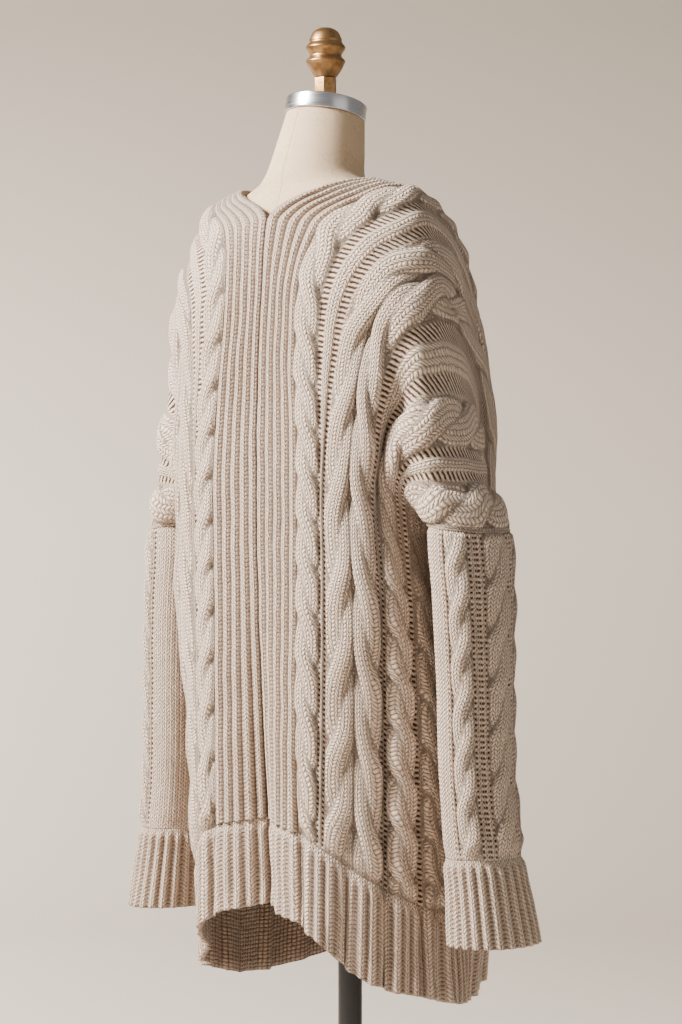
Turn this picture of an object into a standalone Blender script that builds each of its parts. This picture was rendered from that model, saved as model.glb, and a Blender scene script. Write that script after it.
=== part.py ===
"""Cable-knit chenille cardigan on a limbless dress form with its stand.

Metres, +Z up. The front faces -Y and the wearer's left is +X. The origin is the centre of
the stand's underside, on the floor. The cardigan is two long panels, each knitted from the
back hem over the shoulder to the front hem, with sleeves, cuffs and ribbed hem bands.
"""

import math
from collections import namedtuple

import bmesh
import bpy
import numpy as np
from mathutils import Matrix, Vector

# ---- Cloth ----
WALL = 0.0040  # knitted ground, between the plain inside and the outside
SEAM_HALF_GAP = 0.00020  # each piece stops this far short of a seam line
CABLE_HEIGHT = 0.0085
RIB_HEIGHT = 0.0032
BAND_RIB_HEIGHT = 0.0036
ROPE_CROSSING = 0.060  # length of one crossing of a narrow cable
WIDE_CROSSING = 0.098  # and of the wide one
HEM_RIBS = 24
CUFF_RIBS = 24
BAND_START = 0.12  # the band's ribs stand full from this share of its height
STITCH_FADE = 0.020  # cables rise from the ground over this length

# ---- Armhole: a nearly level ring round the upper arm ----
ARM_OUT = 0.2210
ARM_BACK = 0.050
ARM_HALF_WIDTH = 0.0405
ARM_HALF_DEPTH = 0.058
ARMPIT_HEIGHT = 0.965
ARM_DROP = 0.010  # the ring's outer side lies this much lower
ARM_TIP = 0.012  # the ring narrows to a blunt tip at the underarm
UNDERARM_EASE = 0.0030  # the sleeve starts this much lower under the arm, where cloth bunches

# ---- Dress form and stand ----
NECK_BACK = 0.047
CAP_RADIUS = 0.0505
CAP_HEIGHT = 0.019
CAP_MIDDLE = 1.4760
CAP_TILT = math.radians(11.0)
NUT_HEIGHT = 0.0280
NUT_RADIUS = 0.0140
POLE_RADIUS = 0.0150
BASE_HEIGHT = 0.026
TOUCH = 0.0003

# A section of a cardigan half: its name, how many mesh rows lead to it from the one before,
# and five stations across the cloth, each (sideways, backwards, height). Inner is the centre
# back or the front edge; edge is the side seam or the armhole.
Section = namedtuple("Section", "name rows inner blade flank pit edge")
SECTIONS = (
    Section("back hem", 0, (0, 0.156, 0.508), (0.078, 0.178, 0.486), (0.131, 0.127, 0.424),
            (0.168, 0.075, 0.404), (0.180, 0.010, 0.387)),
    Section("back band", 2, (0, 0.162, 0.612), (0.078, 0.176, 0.594), (0.137, 0.131, 0.545),
            (0.169, 0.078, 0.514), (0.174, 0.016, 0.496)),
    Section("back knee", 6, (0, 0.168, 0.750), (0.080, 0.175, 0.745), (0.141, 0.136, 0.730),
            (0.172, 0.088, 0.712), (0.170, 0.026, 0.700)),
    Section("back hip", 6, (0, 0.171, 0.880), (0.082, 0.174, 0.878), (0.148, 0.147, 0.870),
            (0.172, 0.099, 0.856), (0.169, 0.038, 0.840)),
    Section("back waist", 5, (0, 0.172, 1.000), (0.083, 0.175, 1.000), (0.143, 0.151, 0.992),
            (0.161, 0.106, 0.980), (0.1805, 0.050, 0.965)),
    Section("back rib cage", 3, (0, 0.172, 1.080), (0.084, 0.173, 1.080), (0.148, 0.151, 1.062),
            (0.177, 0.122, 1.022), (0.190, 0.087, 0.964)),
    Section("back blades", 3, (0, 0.169, 1.165), (0.085, 0.169, 1.162), (0.152, 0.144, 1.135),
            (0.190, 0.121, 1.040), (0.214, 0.107, 0.961)),
    Section("back yoke", 3, (0, 0.163, 1.255), (0.092, 0.159, 1.250), (0.165, 0.136, 1.185),
            (0.208, 0.120, 1.050), (0.238, 0.103, 0.958)),
    Section("neck point", 3, (0, 0.154, 1.334), (0.118, 0.138, 1.308), (0.182, 0.122, 1.218),
            (0.218, 0.108, 1.055), (0.250, 0.091, 0.956)),
    Section("back neck", 2, (0.058, 0.133, 1.367), (0.152, 0.108, 1.335), (0.193, 0.103, 1.228),
            (0.223, 0.092, 1.055), (0.259, 0.070, 0.9555)),
    Section("shoulder", 2, (0.096, 0.074, 1.378), (0.165, 0.070, 1.348), (0.196, 0.078, 1.235),
            (0.225, 0.070, 1.055), (0.2615, 0.050, 0.955)),
    Section("front neck", 2, (0.096, -0.008, 1.360), (0.150, 0.002, 1.330), (0.187, 0.036, 1.228),
            (0.222, 0.045, 1.052), (0.259, 0.030, 0.9555)),
    Section("collar bone", 2, (0.089, -0.066, 1.318), (0.130, -0.056, 1.298),
            (0.169, -0.006, 1.212), (0.213, 0.017, 1.050), (0.252, 0.013, 0.956)),
    Section("chest", 2, (0.078, -0.110, 1.245), (0.115, -0.103, 1.232), (0.156, -0.055, 1.170),
            (0.197, -0.007, 1.045), (0.238, -0.003, 0.958)),
    Section("bust", 2, (0.068, -0.134, 1.162), (0.107, -0.129, 1.155), (0.149, -0.084, 1.115),
            (0.180, -0.023, 1.030), (0.214, -0.007, 0.961)),
    Section("front ribs", 2, (0.060, -0.139, 1.080), (0.101, -0.137, 1.072),
            (0.146, -0.096, 1.048), (0.170, -0.030, 1.005), (0.190, 0.013, 0.964)),
    Section("front waist", 2, (0.054, -0.139, 0.995), (0.099, -0.138, 0.990),
            (0.142, -0.098, 0.984), (0.157, -0.034, 0.974), (0.1805, 0.050, 0.965)),
    Section("front hip", 5, (0.048, -0.141, 0.860), (0.098, -0.142, 0.860),
            (0.145, -0.104, 0.856), (0.170, -0.042, 0.848), (0.169, 0.038, 0.840)),
    Section("front knee", 6, (0.046, -0.144, 0.708), (0.098, -0.147, 0.706),
            (0.146, -0.108, 0.704), (0.170, -0.048, 0.702), (0.170, 0.026, 0.700)),
    Section("front band", 6, (0.045, -0.134, 0.546), (0.097, -0.136, 0.529),
            (0.141, -0.101, 0.512), (0.168, -0.043, 0.499), (0.174, 0.016, 0.496)),
    Section("front hem", 2, (0.044, -0.121, 0.438), (0.095, -0.121, 0.418),
            (0.136, -0.090, 0.401), (0.165, -0.034, 0.389), (0.180, 0.010, 0.387)),
)
BACK_BAND, BACK_ARMPIT, NECK_POINT, SHOULDER, FRONT_ARMPIT, FRONT_BAND = 1, 4, 8, 10, 16, 19
LAST = len(SECTIONS) - 1

# The armhole's angle at each section from the back armpit (0) over the arm (180) to the front.
ARM_ANGLES = (0, 40, 80, 115, 135, 160, 180, 200, 220, 245, 280, 320, 360)

# Bands of knitting from the inner edge outwards: where each ends across the panel, its
# pattern, and its mesh columns.
Band = namedtuple("Band", "name end pattern columns")
BANDS = (
    Band("centre ribs", 0.200, "ribs", 10),
    Band("first cable", 0.300, "rope", 4),
    Band("first ladder", 0.330, "plain", 1),
    Band("wide cable", 0.555, "horseshoe", 6),
    Band("second ladder", 0.610, "plain", 1),
    Band("third cable", 0.740, "rope", 4),
    Band("third ladder", 0.805, "plain", 1),
    Band("outer cable", 0.955, "rope", 4),
    Band("seam edge", 1.000, "plain", 1),
)

# Soft folds: the place across the panel, half width there, depth, and the stretch of
# sections over which each one runs (deepest in its middle, or at an end past the hem).
Fold = namedtuple("Fold", "name across half_width depth start end")
FOLDS = (
    Fold("centre back", 0.00, 0.10, 0.011, -3.0, 4.0),
    Fold("beside wide cable", 0.600, 0.075, 0.012, -1.5, 4.5),
    Fold("back armpit", 0.600, 0.090, 0.010, 3.6, 8.2),
    Fold("side", 0.775, 0.050, 0.008, -1.0, 4.0),
    Fold("front armpit", 0.600, 0.090, 0.008, 11.8, 16.6),
    Fold("front panel", 0.600, 0.080, 0.010, 15.5, 22.0),
    Fold("front edge", 0.315, 0.045, 0.007, 15.0, 22.0),
)

# Rings of a sleeve below the armhole: rows from the ring before, height, centre sideways
# and backwards, half width and half depth.
Ring = namedtuple("Ring", "name rows height out back half_width half_depth")
SLEEVE_RINGS = (
    Ring("upper", 2, 0.925, 0.2280, 0.051, 0.0375, 0.0570),
    Ring("elbow", 2, 0.870, 0.2330, 0.053, 0.0365, 0.0540),
    Ring("forearm", 4, 0.780, 0.2370, 0.055, 0.0355, 0.0495),
    Ring("wrist", 4, 0.660, 0.2400, 0.054, 0.0355, 0.0480),
    Ring("cuff seam", 4, 0.575, 0.2480, 0.051, 0.0370, 0.0500),
)
CUFF_RINGS = (
    Ring("cuff top", 0, 0.575, 0.2480, 0.051, 0.0370, 0.0500),
    Ring("cuff middle", 1, 0.530, 0.2540, 0.049, 0.0395, 0.0540),
    Ring("cuff end", 2, 0.474, 0.2610, 0.047, 0.0435, 0.0600),
)
# Bands round the sleeve, by angle from its inner side.
SLEEVE_CABLES = ((118.0, 17.0), (180.0, 22.0), (242.0, 17.0))

# The dress form: height, half width, half depth, centre backwards, and squareness.
Slice = namedtuple("Slice", "height half_width half_depth back squareness")
FORM_SLICES = (
    Slice(0.700, 0.146, 0.108, 0.018, 2.3),
    Slice(0.740, 0.151, 0.113, 0.020, 2.3),
    Slice(0.830, 0.152, 0.116, 0.024, 2.3),
    Slice(0.930, 0.139, 0.102, 0.026, 2.2),
    Slice(1.010, 0.124, 0.092, 0.028, 2.2),
    Slice(1.090, 0.137, 0.108, 0.022, 2.2),
    Slice(1.180, 0.152, 0.118, 0.020, 2.2),
    Slice(1.283, 0.166, 0.096, 0.048, 2.3),
    Slice(1.317, 0.164, 0.084, 0.060, 2.3),
    Slice(1.3400, 0.149, 0.0755, 0.066, 2.2),
    Slice(1.3590, 0.1215, 0.0682, 0.068, 2.1),
    Slice(1.3741, 0.0955, 0.0640, 0.067, 2.0),
    Slice(1.384, 0.073, 0.061, 0.067, 2.0),
    Slice(1.397, 0.0605, 0.0590, 0.0650, 2.0),
    Slice(1.428, 0.0545, 0.0545, 0.0565, 2.0),
    Slice(1.4660, 0.0485, 0.0485, 0.0470, 2.0),
)
FORM_COLUMNS = 24

# Profiles of turned pieces as (radius, height), down the outer side.
FINIAL_PROFILE = (
    (0.0000, 0.0620), (0.0085, 0.0606), (0.0160, 0.0556), (0.0200, 0.0470), (0.0204, 0.0430),
    (0.0245, 0.0375), (0.0232, 0.0335), (0.0200, 0.0285), (0.0205, 0.0250), (0.0245, 0.0200),
    (0.0228, 0.0160), (0.0200, 0.0100), (0.0140, 0.0010), (0.0128, 0.0000), (0.0000, 0.0000),
)
BASE_PROFILE = (
    (0.0000, 0.0260), (0.0300, 0.0260), (0.0420, 0.0215), (0.1500, 0.0160), (0.1830, 0.0110),
    (0.1900, 0.0060), (0.1900, 0.0000), (0.0000, 0.0000),
)

COLOURS = {
    "chenille": ((0.62, 0.54, 0.46), 0.95, 0.0),
    "linen": ((0.66, 0.58, 0.44), 0.90, 0.0),
    "steel": ((0.55, 0.56, 0.58), 0.30, 1.0),
    "brass": ((0.50, 0.31, 0.13), 0.35, 1.0),
    "black_metal": ((0.02, 0.02, 0.02), 0.45, 0.6),
}


def smoothstep(x):
    """0 below 0, 1 above 1, with a soft S between."""
    x = np.clip(x, 0.0, 1.0)
    return x * x * (3.0 - 2.0 * x)


def through(keys, at):
    """A Catmull-Rom curve through equally spaced keys (first axis), read at positions at."""
    keys = np.asarray(keys, float)
    slopes = np.gradient(keys, axis=0)
    low = np.clip(np.floor(at).astype(int), 0, len(keys) - 2)
    x = (at - low).reshape(at.shape + (1,) * (keys.ndim - 1))
    rise = keys[low + 1] - keys[low]
    a, b = slopes[low], slopes[low + 1]
    return keys[low] + x * a + x**2 * (3 * rise - 2 * a - b) + x**3 * (a + b - 2 * rise)


STATION_POINTS = np.array([section[2:] for section in SECTIONS], float)
SEAM_POINTS = STATION_POINTS[:BACK_ARMPIT + 1, 4]


def arm_angle(q):
    """The armhole's angle in radians at section positions q."""
    return np.radians(np.interp(q, range(BACK_ARMPIT, FRONT_ARMPIT + 1), ARM_ANGLES))


def armhole(angle):
    """Points of the armhole ring."""
    drop = ARM_DROP * (1.0 - np.cos(angle)) / 2.0
    tip = ARM_TIP * np.abs(np.sin(angle)) * (1.0 + np.cos(angle)) / 2.0
    return np.stack([
        ARM_OUT - ARM_HALF_WIDTH * np.cos(angle) + tip,
        ARM_BACK + ARM_HALF_DEPTH * np.sin(angle),
        ARMPIT_HEIGHT - drop,
    ], axis=-1)


def edge_line(q):
    """The panel's outer edge: the side seam up to the armpit, then the armhole ring."""
    seam = through(SEAM_POINTS, np.minimum(np.minimum(q, LAST - q), float(BACK_ARMPIT)))
    on_arm = (q > BACK_ARMPIT) & (q < FRONT_ARMPIT)
    return np.where(on_arm[:, None], armhole(arm_angle(q)), seam)


def fold_depth(q, u):
    """How far the folds sink at sections q (rows) and places u (rows by columns)."""
    depth = np.zeros(u.shape)
    for fold in FOLDS:
        along = (q - fold.start) / (fold.end - fold.start)
        run = np.where((along > 0) & (along < 1), np.sin(np.pi * np.clip(along, 0, 1))**2, 0.0)
        reach = np.clip(np.abs(u - fold.across) / fold.half_width, 0.0, 1.0)
        depth += fold.depth * run[:, None] * (0.5 + 0.5 * np.cos(np.pi * reach))
    return depth


def smooth_cloth(q, u):
    """The middle of the unfolded cloth at sections q (rows) and places u (rows by columns)."""
    rows = through(STATION_POINTS, q)
    points = np.stack([through(row, places * 4.0) for row, places in zip(rows, u)])
    edge = np.stack([through(row, np.array([4.0]))[0] for row in rows])
    pull = smoothstep((u - 0.78) / 0.22)[..., None]
    points = points + pull * (edge_line(q) - edge)[:, None, :]
    off_centre = np.where(q < NECK_POINT + 1e-6, -rows[:, 0, 0], 0.0)
    points[..., 0] += smoothstep((0.20 - u) / 0.20) * off_centre[:, None]
    return points


def normals_of(surface, q, u, step=1e-3):
    """Outward unit normals of surface(q, u), from small steps both ways."""
    along = surface(q + step, u) - surface(q - step, u)
    across = surface(q, u + step) - surface(q, u - step)
    normal = np.cross(along, across)
    return normal / np.linalg.norm(normal, axis=-1, keepdims=True)


def cloth(q, u):
    """The middle of the folded cloth."""
    points = smooth_cloth(q, u)
    return points - fold_depth(q, u)[..., None] * normals_of(smooth_cloth, q, u)


def seam_normals(q):
    """Normals along the panel's outer edge, the same for every piece that meets there."""
    seam_q = np.minimum(q, LAST - q)
    ones = np.ones((len(q), 1))
    back = normals_of(cloth, np.minimum(seam_q, BACK_ARMPIT - 0.01), ones)[:, 0]
    front = normals_of(cloth, LAST - np.minimum(seam_q, BACK_ARMPIT - 0.01), ones)[:, 0]
    side = back + front
    side /= np.linalg.norm(side, axis=1, keepdims=True)
    down = np.array([0.0, 0.0, -1.0])
    near_pit = smoothstep((seam_q - 3.55) / 0.45)[:, None]
    side = side * (1 - near_pit) + down * near_pit
    angle = arm_angle(q)
    radial = np.stack([-np.cos(angle), np.sin(angle), np.zeros(len(q))], axis=1)
    from_pit = np.minimum(angle, 2 * np.pi - angle)
    share = smoothstep(from_pit / math.radians(70.0))[:, None]
    ring = radial * share + down * (1 - share)
    on_arm = (q > BACK_ARMPIT) & (q < FRONT_ARMPIT)
    normal = np.where(on_arm[:, None], ring, side)
    return normal / np.linalg.norm(normal, axis=1, keepdims=True)


def rope_height(x, turns, height):
    """A two-strand cable: x runs -1 to 1 across it, turns counts crossings along it."""
    whole = np.floor(turns)
    twist = np.pi * (whole + smoothstep((turns - whole - 0.15) / 0.70))
    best = np.zeros(np.broadcast(x, turns).shape)
    for strand in (0.0, np.pi):
        centre = 0.46 * np.cos(twist + strand)
        lift = 0.76 + 0.24 * np.sin(twist + strand)
        round_top = np.sqrt(np.clip(1.0 - ((x - centre) / 0.56)**2, 0.0, 1.0))
        best = np.maximum(best, lift * round_top)
    return height * best


def relief(q, u, run):
    """How far the knitting stands above the ground, with run the length along each wale."""
    height = np.zeros(u.shape)
    start = 0.0
    for band in BANDS:
        inside = (u >= start) & (u <= band.end)
        middle, half = (start + band.end) / 2, (band.end - start) / 2
        x = np.clip((u - middle) / half, -1.0, 1.0)
        if band.pattern == "ribs":
            wave = 0.5 - 0.5 * np.cos(2 * np.pi * (band.columns / 2) * (u - start) / (2 * half))
            height = np.where(inside, RIB_HEIGHT * wave, height)
        elif band.pattern != "plain":
            crossing = ROPE_CROSSING
            if band.pattern == "horseshoe":
                crossing = WIDE_CROSSING
                x = 2.0 * np.abs(x) - 1.0  # two ropes that mirror each other
            centre_run = np.array([np.interp(middle, uu, rr) for uu, rr in zip(u, run)])
            turns = (centre_run / crossing)[:, None]
            height = np.where(inside, rope_height(x, turns, CABLE_HEIGHT), height)
        start = band.end
    from_band = np.minimum(run, run[-1:] - run)
    from_pit = np.minimum(np.abs(q - BACK_ARMPIT), np.abs(q - FRONT_ARMPIT))[:, None]
    by_pit = smoothstep((u - 0.64) / 0.12) * (1.0 - smoothstep((from_pit - 0.4) / 0.9))
    return height * smoothstep(from_band / STITCH_FADE) * (1.0 - by_pit)


def panel_rows():
    """Section positions of the panel's mesh rows, from the back band to the front band."""
    rows = [float(BACK_BAND)]
    for index in range(BACK_BAND + 1, FRONT_BAND + 1):
        steps = SECTIONS[index].rows
        rows += [index - 1 + (k + 1) / steps for k in range(steps)]
    return np.array(rows)


def panel_columns():
    """Places of the panel's mesh columns."""
    columns, start = [0.0], 0.0
    for band in BANDS:
        width = band.end - start
        columns += [start + width * (k + 1) / band.columns for k in range(band.columns)]
        start = band.end
    return np.array(columns)


def unit(vectors):
    """Vectors scaled to length 1."""
    return vectors / np.maximum(np.linalg.norm(vectors, axis=-1, keepdims=True), 1e-12)


def pull_back(base, points, wrap):
    """Moves the border of points inwards by the seam's half gap, along the cloth base."""
    moved = points.copy()
    moved[0] += SEAM_HALF_GAP * unit(base[1] - base[0])
    moved[-1] += SEAM_HALF_GAP * unit(base[-2] - base[-1])
    if not wrap:
        moved[:, 0] += SEAM_HALF_GAP * unit(base[:, 1] - base[:, 0])
        moved[:, -1] += SEAM_HALF_GAP * unit(base[:, -2] - base[:, -1])
    return moved


def zip_rows(mesh, low, high):
    """Triangles between two rows of (place, vertex) whose ends lie at the same places."""
    i = j = 0
    while i < len(low) - 1 or j < len(high) - 1:
        if i == len(low) - 1 or j == len(high) - 1:
            up_low = j == len(high) - 1
        else:
            up_low = low[i][0] + low[i + 1][0] <= high[j][0] + high[j + 1][0] + 1e-9
        if up_low:
            mesh.faces.new((low[i][1], low[i + 1][1], high[j][1]))
            i += 1
        else:
            mesh.faces.new((low[i][1], high[j + 1][1], high[j][1]))
            j += 1


def wall_mesh(name, outer, inner, wrap=False):
    """A closed wall: a fine outside, a plainer inside and rims between them. Each side is a
    list of rows (height place, column places, points); with wrap the rows are rings."""
    mesh = bmesh.new()
    grids = []
    for side_rows in (outer, inner):
        grid = []
        for level, places, points in side_rows:
            row = [(place, mesh.verts.new(p)) for place, p in zip(places, points)]
            if wrap:
                row.append((places[0] + 1.0, row[0][1]))
            grid.append((level, row))
        for (_, low), (_, high) in zip(grid, grid[1:]):
            zip_rows(mesh, low, high)
        grids.append(grid)
    out, ins = grids
    zip_rows(mesh, out[0][1], ins[0][1])
    zip_rows(mesh, out[-1][1], ins[-1][1])
    if not wrap:
        for end in (0, -1):
            zip_rows(mesh, [(level, row[end][1]) for level, row in out],
                     [(level, row[end][1]) for level, row in ins])
    bmesh.ops.recalc_face_normals(mesh, faces=mesh.faces[:])
    data = bpy.data.meshes.new(name)
    mesh.to_mesh(data)
    mesh.free()
    return data


def rows_of(levels, places, points, row_marks, column_marks):
    """The rows of a grid at the marked rows and columns, as wall_mesh takes them."""
    return [(levels[r], places[r][column_marks], points[r][column_marks]) for r in row_marks]


def sided(points, side):
    """Points (sideways, backwards, height) placed on the wearer's left (1) or right (-1)."""
    return points * np.array([side, 1.0, 1.0])


def run_along(points):
    """Length along each column of a grid from its first row."""
    steps = np.linalg.norm(np.diff(points, axis=0), axis=-1)
    return np.concatenate([np.zeros((1, points.shape[1])), np.cumsum(steps, axis=0)])


def marks(count, step):
    """Every step-th index up to count, with count itself."""
    return sorted(set(range(0, count + 1, step)) | {count})


def panel_grid(q, u):
    """Middle points and normals of the cloth, with the borders that pieces share made alike."""
    points = cloth(q, u)
    normal = normals_of(cloth, q, u)
    at_edge = u[:, -1] > 0.999
    normal[at_edge, -1] = seam_normals(q)[at_edge]
    on_centre = (u[:, 0] < 1e-6) & (points[:, 0, 0] < 1e-4)
    normal[on_centre, 0, 0] = 0.0
    return points, unit(normal)


def build_panel(side):
    """The back and front of one side, split at the shoulder."""
    q = panel_rows()
    u = np.tile(panel_columns(), (len(q), 1))
    points, normal = panel_grid(q, u)
    raised = relief(q, u, run_along(points))[..., None]
    inner = points - normal * WALL / 2
    outer = points + normal * (WALL / 2 + raised)
    split, pit_back, pit_front = (
        int(np.argmin(np.abs(q - place))) for place in (SHOULDER, BACK_ARMPIT, FRONT_ARMPIT))
    lower = marks(pit_back, 3)
    back_marks = lower + list(range(pit_back + 1, split + 1))
    front_marks = list(range(pit_front - split + 1))
    front_marks += [len(q) - 1 - split - k for k in lower[::-1]][1:]
    columns = marks(u.shape[1] - 1, 2)
    label = "left" if side > 0 else "right"
    for name, part, inner_rows in (("back", slice(0, split + 1), back_marks),
                                   ("front", slice(split, len(q)), front_marks)):
        base = points[part]
        skin = sided(pull_back(base, outer[part], False), side)
        lining = sided(pull_back(base, inner[part], False), side)
        every = list(range(u.shape[1]))
        data = wall_mesh(f"{name}_{label}",
                         rows_of(q[part], u[part], skin, range(len(base)), every),
                         rows_of(q[part], u[part], lining, inner_rows, columns))
        add_object(f"{name}_{label}", data, "chenille")


def build_hem_band(name, seam, hem, side):
    """A ribbed band from its seam with the panel to the hem, both places of sections. Its
    seam has the panel's own columns, so the two pieces lie side by side."""
    panel = panel_columns()
    ribbed = np.linspace(0.0, 1.0, 2 * HEM_RIBS + 1)
    levels = np.array([seam, seam + (hem - seam) * BAND_START, hem])
    label = "left" if side > 0 else "right"
    grids = []
    for places in (panel, ribbed):
        u = np.tile(places, (len(levels), 1))
        grids.append((u, *panel_grid(levels, u)))
    skins, linings = [], []
    for (u, points, normal), ribs in zip(grids, (0, HEM_RIBS)):
        wave = 0.5 - 0.5 * np.cos(2 * np.pi * ribs * u)
        skin = points + normal * (WALL / 2 + BAND_RIB_HEIGHT * wave)[..., None]
        lining = points - normal * WALL / 2
        skins.append(sided(pull_back(points, skin, False), side))
        linings.append(sided(pull_back(points, lining, False), side))
    every = [list(range(len(places))) for places in (panel, ribbed)]
    seam_row = (levels[0], panel, skins[0][0])
    outer = [seam_row] + rows_of(levels, grids[1][0], skins[1], (1, 2), every[1])
    coarse = marks(len(ribbed) - 1, 2)
    seam_columns = marks(len(panel) - 1, 2)
    inner = [(levels[0], panel[seam_columns], linings[0][0][seam_columns])]
    inner += rows_of(levels, grids[1][0], linings[1], (1, 2), coarse)
    data = wall_mesh(f"{name}_{label}", outer, inner)
    return add_object(f"{name}_{label}", data, "chenille")


def sleeve_rings(rings, angles, first=None):
    """Grid of points down a sleeve through rings, after a first ring of points if given."""
    keys, spots = [], [0.0]
    for ring in rings:
        keys.append(np.stack([
            ring.out - ring.half_width * np.cos(angles),
            ring.back + ring.half_depth * np.sin(angles),
            np.full(len(angles), ring.height),
        ], axis=-1))
    if first is not None:
        keys.insert(0, first)
    steps = [ring.rows for ring in rings][0 if first is not None else 1:]
    for index, count in enumerate(steps):
        spots += [index + (k + 1) / count for k in range(count)]
    return through(np.array(keys), np.array(spots))


def tube_normals(points):
    """Outward normals of a ring grid whose columns wrap."""
    along = np.gradient(points, axis=0)
    across = np.roll(points, -1, axis=1) - np.roll(points, 1, axis=1)
    return unit(np.cross(across, along))


def add_tube(name, side, base, outer, inner, angles, row_step, step):
    """The object of a tubular wall, whose inside keeps every row_step-th ring and every
    step-th point round it."""
    label = "left" if side > 0 else "right"
    places = np.tile(angles / (2 * np.pi), (len(base), 1))
    levels = np.arange(float(len(base)))
    skin = sided(pull_back(base, outer, True), side)
    lining = sided(pull_back(base, inner, True), side)
    every = list(range(len(angles)))
    data = wall_mesh(f"{name}_{label}", rows_of(levels, places, skin, range(len(base)), every),
                     rows_of(levels, places, lining, marks(len(base) - 1, row_step),
                             every[::step]),
                     wrap=True)
    return add_object(f"{name}_{label}", data, "chenille")


def build_sleeve(side):
    """The sleeve from the armhole to the cuff, with cables down its outer side."""
    q = panel_rows()
    q = q[(q >= BACK_ARMPIT - 1e-6) & (q < FRONT_ARMPIT - 1e-6)]
    angles = arm_angle(q)
    from_pit = np.minimum(angles, 2 * np.pi - angles)
    start = edge_line(q)
    start[:, 2] -= UNDERARM_EASE * (1.0 - smoothstep(from_pit / math.radians(75.0)))
    points = sleeve_rings(SLEEVE_RINGS, angles, start)
    normal = tube_normals(points)
    normal[0] = seam_normals(q)
    normal[-1, :, 2] = 0.0
    normal = unit(normal)
    run = run_along(points)
    degrees = np.degrees(angles)
    height = np.zeros(points.shape[:2])
    for index, (middle, half) in enumerate(SLEEVE_CABLES):
        offset = (degrees - middle + 180.0) % 360.0 - 180.0
        x = np.clip(offset / half, -1.2, 1.2)[None, :]
        turns = (run / ROPE_CROSSING + 0.5 * index)
        height = np.maximum(height, rope_height(x, turns, CABLE_HEIGHT * 0.85))
    height *= smoothstep(np.minimum(run, run[-1:] - run) / STITCH_FADE)
    outer = points + normal * (WALL / 2 + height[..., None])
    inner = points - normal * WALL / 2
    return add_tube("sleeve", side, points, outer, inner, angles, 2, 2)


def build_cuff(side):
    """The flared ribbed cuff."""
    angles = np.linspace(0.0, 2 * np.pi, 2 * CUFF_RIBS, endpoint=False)
    points = sleeve_rings(CUFF_RINGS, angles)
    normal = tube_normals(points)
    normal[0, :, 2] = 0.0
    normal = unit(normal)
    wave = 0.5 - 0.5 * np.cos(CUFF_RIBS * angles)
    outer = points + normal * (WALL / 2 + (BAND_RIB_HEIGHT * wave)[None, :, None])
    inner = points - normal * WALL / 2
    return add_tube("cuff", side, points, outer, inner, angles, 1, 4)


def material(name):
    """The Principled material of that name."""
    colour, roughness, metallic = COLOURS[name]
    made = bpy.data.materials.new(name)
    made.use_nodes = True
    shader = made.node_tree.nodes["Principled BSDF"]
    shader.inputs["Base Color"].default_value = (*colour, 1.0)
    shader.inputs["Roughness"].default_value = roughness
    shader.inputs["Metallic"].default_value = metallic
    return made


def add_object(name, data, finish):
    """An object with that mesh and its own material, in the cardigan's collection."""
    made = bpy.data.objects.new(name, data)
    made.data.materials.clear()
    made.data.materials.append(material(finish))
    made.data.shade_smooth()
    bpy.data.collections["cable_cardigan"].objects.link(made)
    return made


def superellipse(angle, squareness):
    """A point of a unit superellipse."""
    c, s = math.cos(angle), math.sin(angle)
    power = 2.0 / squareness
    return math.copysign(abs(c)**power, c), math.copysign(abs(s)**power, s)


def build_form():
    """The limbless torso and neck, lofted through its slices and closed at both ends."""
    mesh = bmesh.new()
    rings = []
    top = len(FORM_SLICES) - 1
    for index, cut in enumerate(FORM_SLICES):
        ring = []
        for k in range(FORM_COLUMNS):
            x, y = superellipse(2 * math.pi * k / FORM_COLUMNS, cut.squareness)
            y *= cut.half_depth
            tilt = math.tan(CAP_TILT) * max(0.0, index - (top - 3)) / 3.0
            ring.append(mesh.verts.new((x * cut.half_width, cut.back + y, cut.height + y * tilt)))
        rings.append(ring)
    for low, high in zip(rings, rings[1:]):
        for k in range(FORM_COLUMNS):
            j = (k + 1) % FORM_COLUMNS
            mesh.faces.new((low[k], low[j], high[j], high[k]))
    mesh.faces.new(rings[0][::-1])
    mesh.faces.new(rings[-1])
    data = bpy.data.meshes.new("form_torso")
    mesh.to_mesh(data)
    mesh.free()
    return add_object("form_torso", data, "linen")


def build_disc(name, radius, height, centre, tilt, sides, finish):
    """A cylinder about a tilted axis."""
    mesh = bmesh.new()
    bmesh.ops.create_cone(mesh, cap_ends=True, segments=sides, radius1=radius, radius2=radius,
                          depth=height)
    mesh.transform(Matrix.Translation(Vector(centre)) @ Matrix.Rotation(tilt, 4, "X"))
    data = bpy.data.meshes.new(name)
    mesh.to_mesh(data)
    mesh.free()
    made = add_object(name, data, finish)
    made.data.set_sharp_from_angle(angle=math.radians(35.0))
    return made


def build_turned(name, profile, sides, location, finish):
    """A turned piece: its profile swept once round Z by a Screw modifier."""
    data = bpy.data.meshes.new(name)
    data.from_pydata([(r, 0.0, z) for r, z in profile],
                     [(k, k + 1) for k in range(len(profile) - 1)], [])
    made = bpy.data.objects.new(name, data)
    made.data.materials.append(material(finish))
    bpy.data.collections["cable_cardigan"].objects.link(made)
    made.location = location
    screw = made.modifiers.new("Turn", "SCREW")
    screw.steps = sides
    screw.render_steps = sides
    screw.use_merge_vertices = True
    screw.merge_threshold = 0.00001
    return made


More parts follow.
